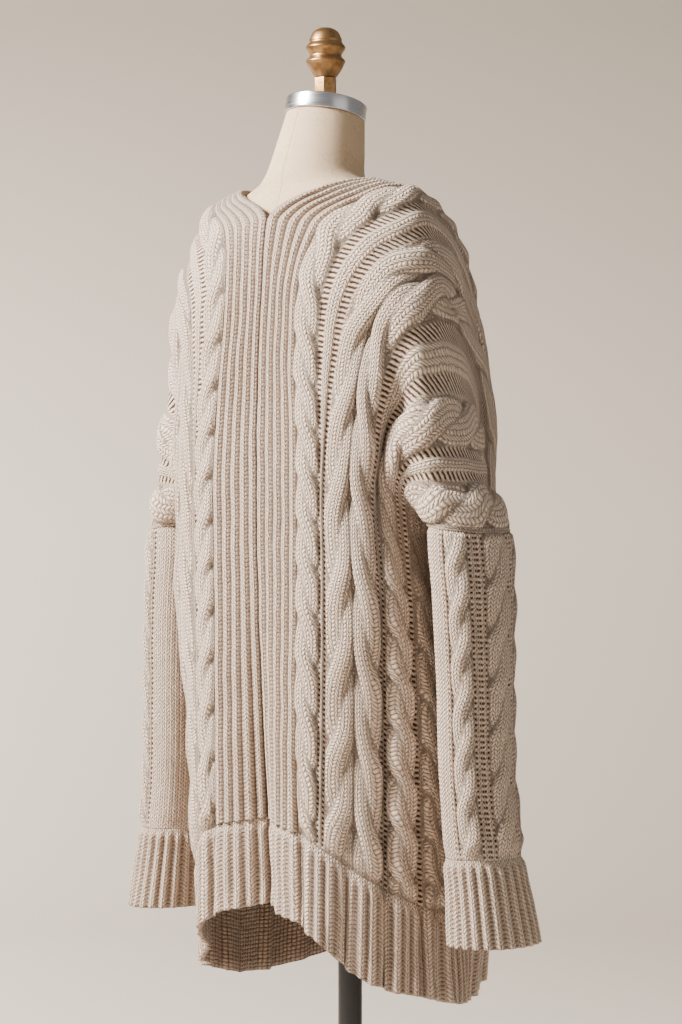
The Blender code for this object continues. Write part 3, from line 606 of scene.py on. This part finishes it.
def gap_at_seams(outer, inner, middle, wrap=False):
    """Moves both walls' edges off the seam lines, inwards along the cloth's middle. A grid
    that wraps has only its two ends."""
    for row, step in ((0, 1), (-1, -1)):
        shift = SEAM_HALF_GAP * unit(middle[row + step] - middle[row])
        outer[row] += shift
        inner[row] += shift
    if wrap:
        return
    for column, step in ((0, 1), (-1, -1)):
        shift = SEAM_HALF_GAP * unit(middle[:, column + step] - middle[:, column])
        outer[:, column] += shift
        inner[:, column] += shift


def section_rows():
    """Section positions of the mesh rows, spread evenly by length, and the shoulder's row."""
    fine = np.linspace(BACK_BAND, FRONT_BAND, FINE_ROWS)
    beside = np.full((FINE_ROWS, 3), LENGTH_PLACE) + np.array([-0.01, 0.0, 0.01])
    line = cloth_middle(fine, beside)[:, 1]
    run = np.concatenate([[0.0], np.cumsum(np.linalg.norm(np.diff(line, axis=0), axis=1))])
    at_shoulder = np.interp(SHOULDER, fine, run)
    rows = []
    for low, high in ((0.0, at_shoulder), (at_shoulder, run[-1])):
        count = int(round((high - low) / ROW_STEP))
        rows.append(np.interp(np.linspace(low, high, count + 1), run, fine))
    return np.concatenate([rows[0], rows[1][1:]]), len(rows[0]) - 1


def ring_normals(q):
    """Normals along the armhole: outwards from the arm, turned down towards the underarm."""
    angle = arm_angle(q)
    outward = np.stack([-np.cos(angle), np.sin(angle), np.zeros(len(q))], axis=1)
    from_pit = np.minimum(angle, 2 * np.pi - angle)
    share = smoothstep(from_pit / math.radians(70.0))[:, None]
    return unit(outward * share + np.array([0.0, 0.0, -1.0]) * (1.0 - share))


def build_panels():
    """The back and front of both halves."""
    q, split = section_rows()
    u, owners = panel_columns(q)
    middle = cloth_middle(q, u)
    normal = grid_normals(middle)
    on_arm = (q > BACK_ARMPIT) & (q < FRONT_ARMPIT)
    near_edge = smoothstep((u - 0.975) / 0.025)[..., None] * on_arm[:, None, None]
    normal = unit(normal * (1.0 - near_edge) + ring_normals(q)[:, None, :] * near_edge)
    at_centre = (q < NECK_POINT + 1e-6)[:, None] * smoothstep((0.012 - u) / 0.012)
    normal[..., 0] *= 1.0 - at_centre
    normal = unit(normal)
    run = run_along(middle)
    made = {key: np.zeros(u.shape) for key in PATTERN_KEYS}
    counted = 0
    for index, band in enumerate(BANDS):
        mine = np.flatnonzero(owners == index)
        first = mine[0] - (index > 0)
        span = u[:, first:mine[-1] + 1]
        x = 2.0 * (span - span[:, :1]) / (span[:, -1:] - span[:, :1]) - 1.0
        centre = run[:, (first + mine[-1]) // 2][:, None]
        centre = centre + 0.006 * np.sin(11.0 * centre + 1.7 * index)  # crossings vary
        values = knit_pattern(x, centre, band.pattern, band.wales)
        knit_band(made, mine, [value[:, mine[0] - first:] for value in values], counted)
        counted += band.wales
    height = made["height"]
    from_band = np.minimum(run, run[-1:] - run)
    from_pit = np.minimum(np.abs(q - BACK_ARMPIT), np.abs(q - FRONT_ARMPIT))[:, None]
    by_pit = smoothstep((u - 0.64) / 0.12) * (1.0 - smoothstep((from_pit - 0.4) / 0.9))
    ribbed = (owners == 0)[None, :]  # the ribs run on into the band
    height *= np.where(ribbed, 1.0, smoothstep(from_band / STITCH_FADE)) * (1.0 - by_pit)
    height += unevenness(middle, PANEL_UNEVENNESS)
    # depth is painted shade: in the cable hollows and in the centre ribs' purl grooves
    depth = np.maximum(cable_hollow_shade(height, owners, BANDS), GROOVE_PAINTED_SHADE * made["purl"] * ribbed)
    outer = middle + normal * (WALL / 2 + height)[..., None]
    inner = middle - normal * (WALL / 2)
    facts = {"wale": made["wale"], "course": run / COURSE, "purl": made["purl"],
             "ladder": made["ladder"], "depth": depth}
    for side, label in ((1, "left"), (-1, "right")):
        for name, part in (("back", slice(0, split + 1)), ("front", slice(split, len(q)))):
            skin, lining = outer[part].copy(), inner[part].copy()
            gap_at_seams(skin, lining, middle[part])
            panel = stitch_mesh(f"{name}_{label}_knit", sided(skin, side), sided(lining, side),
                                marks_to(len(skin) - 1, LINING_STEP),
                                marks_to(u.shape[1] - 1, LINING_STEP),
                                {key: value[part] for key, value in facts.items()}, side < 0)
            finish_cloth(panel, f"{name}_{label}")


build_panels()


# ---- Hem bands -----------------------------------------------------------------------------
# Ribbed bands knitted on at the lower edge of each panel, one wale up and one down, cast off
# loosely so that the edge ripples.

HEM_RIBS = 24
BAND_RIB_HEIGHT = 0.0042
BAND_START = 0.12  # the ribs stand full from this share of the band's height
RIB_STEPS = 8  # mesh columns to a rib
BAND_ROWS = 43
BAND_UNEVENNESS = 0.0012
RIPPLE = 0.0016  # of the cast-off edge


def rib_pattern(ribs, places, share):
    """Height, wale coordinate, purl share and painted groove shade of ribs counted round places
    from 0 to 1, each two wales wide, risen by share."""
    wale = 2.0 * ribs * places
    phase = 0.5 - 0.5 * np.cos(np.pi * wale)
    height = BAND_RIB_HEIGHT * phase**0.7 * share
    purl = 1.0 - smoothstep((phase - 0.12) / 0.4)
    return height, wale - 0.5, purl * share, 0.9 * share * smoothstep((0.45 - phase) / 0.45)


def build_hem_bands():
    """The back and front hem bands of both halves."""
    for name, low, high in (("hem_back", 0.0, float(BACK_BAND)),
                            ("hem_front", float(FRONT_BAND), float(LAST))):
        q = np.linspace(low, high, BAND_ROWS)
        u = np.tile(np.linspace(0.0, 1.0, RIB_STEPS * HEM_RIBS + 1), (len(q), 1))
        middle = cloth_middle(q, u)
        normal = grid_normals(middle)
        if low == 0.0:
            normal[:, 0, 0] = 0.0
            normal = unit(normal)
            from_seam = (high - q) / (high - low)
        else:
            from_seam = (q - low) / (high - low)
        share = smoothstep(from_seam / BAND_START)[:, None]
        height, wale, purl, depth = rib_pattern(HEM_RIBS, u, share)
        height = height + unevenness(middle, BAND_UNEVENNESS)
        ripple = RIPPLE * smoothstep((from_seam - 0.6) / 0.4)[:, None] * np.sin(61 * u + 1.0)
        height = height + ripple
        run = run_along(middle)
        # depth is painted shade in the grooves between the ribs
        facts = {"wale": wale, "course": run / COURSE, "purl": purl,
                 "ladder": np.zeros(u.shape), "depth": depth}
        outer = middle + normal * (WALL / 2 + height)[..., None]
        inner = middle + normal * (ripple - WALL / 2)[..., None]
        gap_at_seams(outer, inner, middle)
        for side, label in ((1, "left"), (-1, "right")):
            made = stitch_mesh(f"{name}_{label}_knit", sided(outer, side), sided(inner, side),
                               marks_to(len(q) - 1, LINING_STEP), marks_to(u.shape[1] - 1, 4),
                               facts, side < 0)
            finish_cloth(made, f"{name}_{label}")


build_hem_bands()


# ---- Sleeves -------------------------------------------------------------------------------
# A narrow tube picked up round the armhole: plain knitting inside, and three cables with
# laddered gaps between them down its outer side.

UNDERARM_EASE = 0.0030
LADDER_STEPS = 5  # mesh columns to a wale of a ladder
SLEEVE_RELIEF = 0.9  # share of a panel's cable height
TUBE_UNEVENNESS = 0.0011
FINE_RINGS = 401
Ring = namedtuple("Ring", "height out back half_width half_depth")
SLEEVE_RINGS = (
    Ring(0.925, 0.2280, 0.051, 0.0375, 0.0570),
    Ring(0.870, 0.2330, 0.053, 0.0365, 0.0540),
    Ring(0.780, 0.2370, 0.055, 0.0355, 0.0495),
    Ring(0.660, 0.2400, 0.054, 0.0355, 0.0480),
    Ring(0.575, 0.2480, 0.051, 0.0370, 0.0500),
)
SLEEVE_BANDS = (
    Band("inner back", 92.0, 92.0, "plain", 11),
    Band("back ladder", 101.0, 101.0, "ladder", 2),
    Band("back cable", 135.0, 135.0, "rope", 6),
    Band("back gap", 146.5, 146.5, "ladder", 2),
    Band("back gap's side", 158.0, 158.0, "ladder", 2),
    Band("middle cable", 202.0, 202.0, "rope", 8),
    Band("front gap", 213.5, 213.5, "ladder", 2),
    Band("front gap's side", 225.0, 225.0, "ladder", 2),
    Band("front cable", 259.0, 259.0, "rope", 6),
    Band("front ladder", 268.0, 268.0, "ladder", 2),
    Band("inner front", 360.0, 360.0, "plain", 11),
)


def ring_keys(rings, angles):
    """Ellipses through rings, angle 0 on the side next to the body."""
    return [np.stack([ring.out - ring.half_width * np.cos(angles),
                      ring.back + ring.half_depth * np.sin(angles),
                      np.full(len(angles), ring.height)], axis=-1) for ring in rings]


def tube_rows(keys, step):
    """Rows of a tube through key rings, about step apart by the length of their mean line."""
    places = np.linspace(0.0, len(keys) - 1.0, FINE_RINGS)
    fine = through(np.array(keys), places)
    line = fine.mean(axis=1)
    run = np.concatenate([[0.0], np.cumsum(np.linalg.norm(np.diff(line, axis=0), axis=1))])
    count = int(round(run[-1] / step))
    return through(np.array(keys), np.interp(np.linspace(0.0, run[-1], count + 1), run, places))


def tube_normals(points):
    """Outward normals of rings whose columns wrap, level at the last ring."""
    down = np.gradient(points, axis=0)
    along = np.roll(points, -1, axis=1) - np.roll(points, 1, axis=1)
    normal = unit(np.cross(along, down))
    normal[-1, :, 2] = 0.0
    return unit(normal)


def finish_tube(name, points, normal, height, facts, lining_step):
    """Both sides' walls of one tube, gapped at its ends."""
    outer = points + normal * (WALL / 2 + height)[..., None]
    inner = points - normal * (WALL / 2)
    gap_at_seams(outer, inner, points, wrap=True)
    for side, label in ((1, "left"), (-1, "right")):
        made = stitch_mesh(f"{name}_{label}_knit", sided(outer, side), sided(inner, side),
                           marks_to(len(points) - 1, LINING_STEP),
                           list(range(0, points.shape[1], lining_step)), facts, side > 0,
                           wrap=True)
        finish_cloth(made, f"{name}_{label}")


def build_sleeves():
    """Both sleeves."""
    angles, owners, start = [], [], 0.0
    for index, band in enumerate(SLEEVE_BANDS):
        steps = band.wales * (WALE_STEPS if band.pattern != "ladder" else LADDER_STEPS)
        angles += list(start + (band.hip - start) * np.arange(steps) / steps)
        owners += [index] * steps
        start = band.hip
    degrees, owners = np.array(angles), np.array(owners)
    angles = np.radians(degrees)
    from_pit = np.minimum(angles, 2 * np.pi - angles)
    first = armhole(angles)
    first[:, 2] -= UNDERARM_EASE * (1.0 - smoothstep(from_pit / math.radians(75.0)))
    points = tube_rows([first] + ring_keys(SLEEVE_RINGS, angles), ROW_STEP)
    normal = tube_normals(points)
    outward = np.stack([-np.cos(angles), np.sin(angles), np.zeros(len(angles))], axis=1)
    share = smoothstep(from_pit / math.radians(70.0))[:, None]
    normal[0] = unit(outward * share + np.array([0.0, 0.0, -1.0]) * (1.0 - share))
    run = run_along(points)
    made = {key: np.zeros(points.shape[:2]) for key in PATTERN_KEYS}
    start, counted = 0.0, 0
    for index, band in enumerate(SLEEVE_BANDS):
        mine = np.flatnonzero(owners == index)
        x = across_band(degrees[mine], start, band.hip)[None, :]
        centre = run[:, mine[len(mine) // 2]][:, None]
        centre = centre + 0.5 * ROPE_CROSSING * (band.name == "middle cable")
        values = knit_pattern(np.repeat(x, len(points), axis=0), centre, band.pattern, band.wales)
        knit_band(made, mine, values, counted)
        start, counted = band.hip, counted + band.wales
    ends = smoothstep(np.minimum(run / 0.006, (run[-1:] - run) / STITCH_FADE))
    height = made["height"] * ends * SLEEVE_RELIEF + unevenness(points, TUBE_UNEVENNESS)
    # The depth attribute here is painted shade in the cable hollows
    facts = {"wale": made["wale"], "course": -run / COURSE, "purl": made["purl"],
             "ladder": made["ladder"], "depth": cable_hollow_shade(made["height"], owners, SLEEVE_BANDS)}
    finish_tube("sleeve", points, normal, height, facts, 5)


build_sleeves()


# ---- Cuffs ---------------------------------------------------------------------------------
# Long ribbed cuffs that flare at the wrist, hanging open below the sleeves.

CUFF_RIBS = 24
CUFF_RINGS = (
    Ring(0.575, 0.2480, 0.051, 0.0370, 0.0500),
    Ring(0.530, 0.2540, 0.049, 0.0395, 0.0540),
    Ring(0.474, 0.2610, 0.047, 0.0435, 0.0600),
)


def build_cuffs():
    """Both cuffs."""
    angles = np.linspace(0.0, 2 * np.pi, RIB_STEPS * CUFF_RIBS, endpoint=False)
    points = tube_rows(ring_keys(CUFF_RINGS, angles), ROW_STEP)
    normal = tube_normals(points)
    normal[0, :, 2] = 0.0
    normal = unit(normal)
    run = run_along(points)
    share = smoothstep(run / (BAND_START * run[-1:]))
    places = np.tile(angles / (2 * np.pi), (len(points), 1))
    height, wale, purl, depth = rib_pattern(CUFF_RIBS, places, share)
    # depth is painted shade in the grooves between the ribs
    facts = {"wale": wale, "course": -run / COURSE, "purl": purl,
             "ladder": np.zeros(points.shape[:2]), "depth": depth}
    finish_tube("cuff", points, normal, height + unevenness(points, TUBE_UNEVENNESS), facts, 4)


build_cuffs()


# ---- Dress form ----------------------------------------------------------------------------
# A limbless padded torso covered in natural linen, seamed down the middle of its back and
# front.

Slice = namedtuple("Slice", "height half_width half_depth back squareness")
FORM_SLICES = (
    Slice(0.700, 0.146, 0.108, 0.018, 2.3),
    Slice(0.740, 0.151, 0.113, 0.020, 2.3),
    Slice(0.830, 0.152, 0.116, 0.024, 2.3),
    Slice(0.930, 0.139, 0.102, 0.026, 2.2),
    Slice(1.010, 0.124, 0.092, 0.028, 2.2),
    Slice(1.090, 0.137, 0.108, 0.022, 2.2),
    Slice(1.180, 0.152, 0.118, 0.020, 2.2),
    Slice(1.283, 0.166, 0.096, 0.048, 2.3),
    Slice(1.317, 0.164, 0.084, 0.060, 2.3),
    Slice(1.3400, 0.149, 0.0755, 0.066, 2.2),
    Slice(1.3590, 0.1215, 0.0682, 0.068, 2.1),
    Slice(1.3741, 0.0955, 0.0640, 0.067, 2.0),
    Slice(1.384, 0.073, 0.061, 0.067, 2.0),
    Slice(1.397, 0.0605, 0.0590, 0.0650, 2.0),
    Slice(1.428, 0.0545, 0.0545, 0.0565, 2.0),
    Slice(1.4660, 0.0485, 0.0485, 0.0470, 2.0),
)
CAP_TILT = math.radians(11.0)
CLOTH_EASE = 0.0016  # the cover lies this far inside the solid where cloth hides it
FORM_STEPS = 96


def closed_rings(name, points):
    """A solid through rings of points, counted anticlockwise from above and from the lowest
    up, closed by a fan about the middle of each end."""
    rows, columns = points.shape[:2]
    grid = np.arange(rows * columns).reshape(rows, columns)
    grid = np.concatenate([grid, grid[:, :1]], axis=1)
    four = np.stack([grid[:-1, :-1], grid[:-1, 1:], grid[1:, 1:], grid[1:, :-1]], axis=-1)
    ends = [points[0].mean(axis=0), points[-1].mean(axis=0)]
    low, high = rows * columns, rows * columns + 1
    bottom = [(low, b, a) for a, b in zip(grid[0, :-1].tolist(), grid[0, 1:].tolist())]
    top = [(high, a, b) for a, b in zip(grid[-1, :-1].tolist(), grid[-1, 1:].tolist())]
    mesh = bpy.data.meshes.new(name)
    mesh.from_pydata(points.reshape(-1, 3).tolist() + [end.tolist() for end in ends], [],
                     four.reshape(-1, 4).tolist() + bottom + top)
    mesh.shade_smooth()
    mesh.set_sharp_from_angle(angle=math.radians(32.0))
    made = bpy.data.objects.new(name, mesh)
    bpy.context.scene.collection.objects.link(made)
    return made


def linen():
    """Plain-woven linen: threads both ways round the neck, slubs, and a pressed seam."""
    made, tree, shader, where = new_material("natural linen", (0.6, 0.5, 0.4), 0.88, 0.0)
    split = tree.nodes.new("ShaderNodeSeparateXYZ")
    tree.links.new(where, split.inputs[0])
    x, y, z = split.outputs
    turn = maths(tree, "ARCTAN2", x, maths(tree, "SUBTRACT", y, 0.055))
    warp = maths(tree, "SINE", maths(tree, "MULTIPLY", turn, 430.0))
    weft = maths(tree, "SINE", maths(tree, "MULTIPLY", z, 7600.0))
    weave = maths(tree, "MULTIPLY_ADD", maths(tree, "MULTIPLY", warp, weft), 0.25, 0.5)
    slub = noise(tree, where, 260, 3)
    seam = maths(tree, "DIVIDE", maths(tree, "ABSOLUTE", x), 0.0014, clamp=True)
    height = maths(tree, "MULTIPLY_ADD", slub, 0.6, weave)
    height = maths(tree, "MULTIPLY_ADD", seam, 2.2, height)
    add_bump(tree, shader, height, 0.00035, 0.9)
    tone = maths(tree, "MULTIPLY_ADD", slub, 0.45, maths(tree, "MULTIPLY", noise(
        tree, where, 22, 2), 0.4))
    colour = ramp(tree, maths(tree, "MULTIPLY", tone, maths(tree, "MULTIPLY_ADD", seam, 0.3, 0.7)),
                  [(0.1, (0.33, 0.23, 0.13)), (0.42, (0.59, 0.43, 0.27)),
                   (0.75, (0.66, 0.495, 0.32))])
    tree.links.new(colour, shader.inputs["Base Color"])
    return made


def finish_hard(made, material, node):
    """Material and frame calls of one hard piece."""
    made.data.materials.append(material)
    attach(made, "root")
    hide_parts(node)


def build_form():
    """The torso and neck through their slices, each ring a superellipse; the last three
    rings tilt so that the neck's top leans like its cap."""
    table = np.array(FORM_SLICES, float)
    spots = np.linspace(0.0, len(table) - 1.0, 6 * (len(table) - 1) + 1)
    rings = through(table, spots)
    angle = np.linspace(0.0, 2 * np.pi, FORM_STEPS, endpoint=False)[None, :]
    height, half_width, half_depth, back, square = (rings[:, k:k + 1] for k in range(5))
    tilt = math.tan(CAP_TILT) * np.maximum(0.0, spots - (len(table) - 4.0))[:, None] / 3.0
    ease = CLOTH_EASE * (1.0 - smoothstep((height - 1.376) / 0.012))
    c, s = np.cos(angle), np.sin(angle)
    x = (half_width - ease) * np.sign(c) * np.abs(c)**(2.0 / square)
    y = (half_depth - ease) * np.sign(s) * np.abs(s)**(2.0 / square)
    points = np.stack([x, back + y, height + y * tilt], axis=-1)
    finish_hard(closed_rings("linen_form", points), linen(), "form_torso")


build_form()


# ---- Cap, nut and finial -------------------------------------------------------------------
# A brushed steel cap closes the neck; a brass hexagon nut and a turned, ringed brass finial
# stand on it.

NECK_BACK = 0.047
CAP_RADIUS = 0.0505
CAP_HEIGHT = 0.019
CAP_MIDDLE = 1.4760
NUT_HEIGHT = 0.0280
NUT_RADIUS = 0.0140
TOUCH = 0.0003
FINIAL_PROFILE = (
    (0.0128, 0.0000), (0.0140, 0.0010), (0.0200, 0.0100), (0.0228, 0.0160), (0.0245, 0.0200),
    (0.0205, 0.0250), (0.0200, 0.0285), (0.0232, 0.0335), (0.0245, 0.0375), (0.0204, 0.0430),
    (0.0200, 0.0470), (0.0160, 0.0556), (0.0085, 0.0606), (0.0010, 0.0620),
)


def turned(name, profile, steps, foot, tilt=0.0):
    """A profile of (radius, height) from the foot up, swept round its axis."""
    profile = np.array(profile, float)
    angle = np.linspace(0.0, 2 * np.pi, steps, endpoint=False)[None, :]
    radius, height = profile[:, :1], profile[:, 1:]
    x = radius * np.cos(angle)
    y = radius * np.sin(angle)
    z = np.broadcast_to(height, x.shape)
    points = np.stack([x, y * math.cos(tilt) - z * math.sin(tilt),
                       y * math.sin(tilt) + z * math.cos(tilt)], axis=-1)
    return closed_rings(name, points + np.array(foot))


def bevelled(radius, height, bevel):
    """The profile of a cylinder with small round edges."""
    turn = np.radians((0.0, 30.0, 60.0, 90.0))
    low = [(radius - bevel + bevel * math.sin(t), bevel - bevel * math.cos(t)) for t in turn]
    high = [(r, height - z) for r, z in reversed(low)]
    return low + high


def steel():
    """Spun and brushed steel: fine lines round the axis, with a soft smear of tone."""
    made, tree, shader, where = new_material("brushed steel", (0.60, 0.60, 0.61), 0.27, 1.0)
    stretch = tree.nodes.new("ShaderNodeMapping")
    stretch.inputs["Scale"].default_value = (6.0, 6.0, 900.0)
    tree.links.new(where, stretch.inputs["Vector"])
    lines = noise(tree, stretch.outputs["Vector"], 3.0, 3)
    add_bump(tree, shader, lines, 0.00006)
    tree.links.new(maths(tree, "MULTIPLY_ADD", lines, 0.22, 0.16), shader.inputs["Roughness"])
    return made


def brass():
    """Aged brass: warm, and browned in patches."""
    made, tree, shader, where = new_material("aged brass", (0.55, 0.34, 0.16), 0.34, 1.0)
    patches = noise(tree, where, 70, 4, 0.6)
    colour = ramp(tree, patches, [(0.32, (0.18, 0.092, 0.035)), (0.55, (0.36, 0.205, 0.085)),
                                  (0.72, (0.50, 0.315, 0.15))])
    tree.links.new(colour, shader.inputs["Base Color"])
    tree.links.new(maths(tree, "MULTIPLY_ADD", patches, -0.3, 0.55), shader.inputs["Roughness"])
    add_bump(tree, shader, noise(tree, where, 420, 3), 0.00008)
    return made


def build_top():
    """Cap, nut and finial, stacked."""
    axis = np.array([0.0, NECK_BACK, CAP_MIDDLE])
    foot = axis - CAP_HEIGHT / 2 * np.array([0.0, -math.sin(CAP_TILT), math.cos(CAP_TILT)])
    cap = turned("steel_cap", bevelled(CAP_RADIUS, CAP_HEIGHT, 0.0011), 128, foot, CAP_TILT)
    finish_hard(cap, steel(), "neck_cap")
    seat = CAP_MIDDLE + CAP_HEIGHT / 2 + NUT_RADIUS * math.tan(CAP_TILT) + 2 * TOUCH
    metal = brass()
    nut = turned("hexagon_nut", bevelled(NUT_RADIUS, NUT_HEIGHT, 0.0009), 6,
                 (0.0, NECK_BACK, seat))
    nut.data.set_sharp_from_angle(angle=math.radians(25.0))
    finish_hard(nut, metal, "finial_nut")
    spots = np.linspace(0.0, len(FINIAL_PROFILE) - 1.0, 6 * (len(FINIAL_PROFILE) - 1) + 1)
    profile = np.maximum(through(np.array(FINIAL_PROFILE), spots), (0.0006, 0.0))
    finial = turned("ringed_finial", profile, 96, (0.0, NECK_BACK, seat + NUT_HEIGHT + TOUCH))
    finish_hard(finial, metal, "finial")


build_top()


# ---- Pole and base -------------------------------------------------------------------------
# A black steel pole in a round, weighted base.

POLE_RADIUS = 0.0150
BASE_HEIGHT = 0.026
BASE_PROFILE = (
    (0.1886, 0.0000), (0.1900, 0.0014), (0.1900, 0.0060), (0.1830, 0.0110), (0.1500, 0.0160),
    (0.0420, 0.0215), (0.0300, 0.0260),
)


def black_metal():
    """Powder-coated steel with a fine orange-peel surface."""
    made, tree, shader, where = new_material("black metal", (0.012, 0.011, 0.011), 0.42, 0.0)
    add_bump(tree, shader, noise(tree, where, 900, 2), 0.00008)
    return made


def build_stand():
    """Pole and base."""
    coat = black_metal()
    foot = BASE_HEIGHT + TOUCH
    pole = turned("pole", bevelled(POLE_RADIUS, FORM_SLICES[0].height - TOUCH - foot, 0.0008), 64,
                  (0.0, 0.0, foot))
    finish_hard(pole, coat, "stand_pole")
    base = turned("round_base", BASE_PROFILE, 128, (0.0, 0.0, 0.0))
    finish_hard(base, coat, "stand_base")


build_stand()


# ---- Room, light and camera ----------------------------------------------------------------
# A pale studio sweep with painted shade that greys it towards the top, under a soft key light from
# high on the left, a weak fill from the right, a wash on the wall and the light of the room.

VIEW = Vector((0.6428, -0.7660, 0.0))  # the way the camera looks, level
LEFT = Vector((0.7660, 0.6428, 0.0))
SWEEP_START = -6.0
SWEEP_BEND = 3.0
SWEEP_RADIUS = 1.4
SWEEP_HEIGHT = 6.0
SWEEP_HALF_WIDTH = 7.0
PAINT = (0.70, 0.613, 0.523)
PAINTED_SHADE_AT_TOP = (0.44, 0.38, 0.31)


def build_sweep():
    """A floor that curves up through a quarter circle into a wall behind the cardigan."""
    turn = np.linspace(0.0, np.pi / 2, 17)
    wall = SWEEP_BEND + SWEEP_RADIUS
    reach = np.concatenate([[SWEEP_START], SWEEP_BEND + SWEEP_RADIUS * np.sin(turn), [wall]])
    rise = np.concatenate([[0.0], SWEEP_RADIUS - SWEEP_RADIUS * np.cos(turn), [SWEEP_HEIGHT]])
    points = [VIEW * a + Vector((0.0, 0.0, b)) + LEFT * c
              for a, b in zip(reach, rise) for c in (-SWEEP_HALF_WIDTH, SWEEP_HALF_WIDTH)]
    faces = [(2 * k, 2 * k + 2, 2 * k + 3, 2 * k + 1) for k in range(len(reach) - 1)]
    mesh = bpy.data.meshes.new("sweep")
    mesh.from_pydata([tuple(p) for p in points], [], faces)
    mesh.shade_smooth()
    made = bpy.data.objects.new("studio_sweep", mesh)
    paint, tree, shader, where = new_material("pale paint with painted shade", PAINT, 0.9, 0.0)
    split = tree.nodes.new("ShaderNodeSeparateXYZ")
    tree.links.new(where, split.inputs[0])
    # Painted shade: the wall's colour darkens with height, as if less light reached its top
    up = maths(tree, "MULTIPLY", split.outputs[2], 1 / 2.6)
    tree.links.new(ramp(tree, up, [(0.36, PAINT), (0.92, PAINTED_SHADE_AT_TOP)]),
                   shader.inputs["Base Color"])
    mesh.materials.append(paint)
    bpy.context.scene.collection.objects.link(made)


def add_light(name, place, size, power, target):
    """A warm white area light that looks at target."""
    data = bpy.data.lights.new(name, "AREA")
    data.energy = power
    data.size = size
    data.color = (1.0, 0.965, 0.925)
    made = bpy.data.objects.new(name, data)
    made.location = place
    aim = target - place
    made.rotation_euler = aim.to_track_quat("-Z", "Y").to_euler()
    bpy.context.scene.collection.objects.link(made)


build_sweep()
MIDDLE = Vector((0.0, 0.05, 0.95))
add_light("soft key", LEFT * 2.2 - VIEW * 0.8 + Vector((0, 0, 2.7)), 0.8, 430, MIDDLE)
add_light("room fill", LEFT * -2.4 - VIEW * 2.6 + Vector((0, 0, 1.9)), 2.4, 14, MIDDLE)
add_light("wall wash", LEFT * 2.6 + VIEW * 2.2 + Vector((0, 0, 1.2)), 1.6, 120,
          LEFT * 0.3 + VIEW * 4.4 + Vector((0, 0, 0.8)))
world = bpy.data.worlds.new("room")
bpy.context.scene.world = world
world.use_nodes = True
world.node_tree.nodes["Background"].inputs["Color"].default_value = (0.95, 0.93, 0.90, 1.0)
world.node_tree.nodes["Background"].inputs["Strength"].default_value = 0.31

camera_data = bpy.data.cameras.new("camera")
camera_data.sensor_fit = "VERTICAL"
camera_data.sensor_height = 24.0
camera_data.lens = 63.75
camera_data.shift_x = -9 / 1024
camera = bpy.data.objects.new("camera", camera_data)
camera.location = (-2.185, 2.604, 0.98)
camera.rotation_euler = VIEW.to_track_quat("-Z", "Y").to_euler()
bpy.context.scene.collection.objects.link(camera)
bpy.context.scene.camera = camera
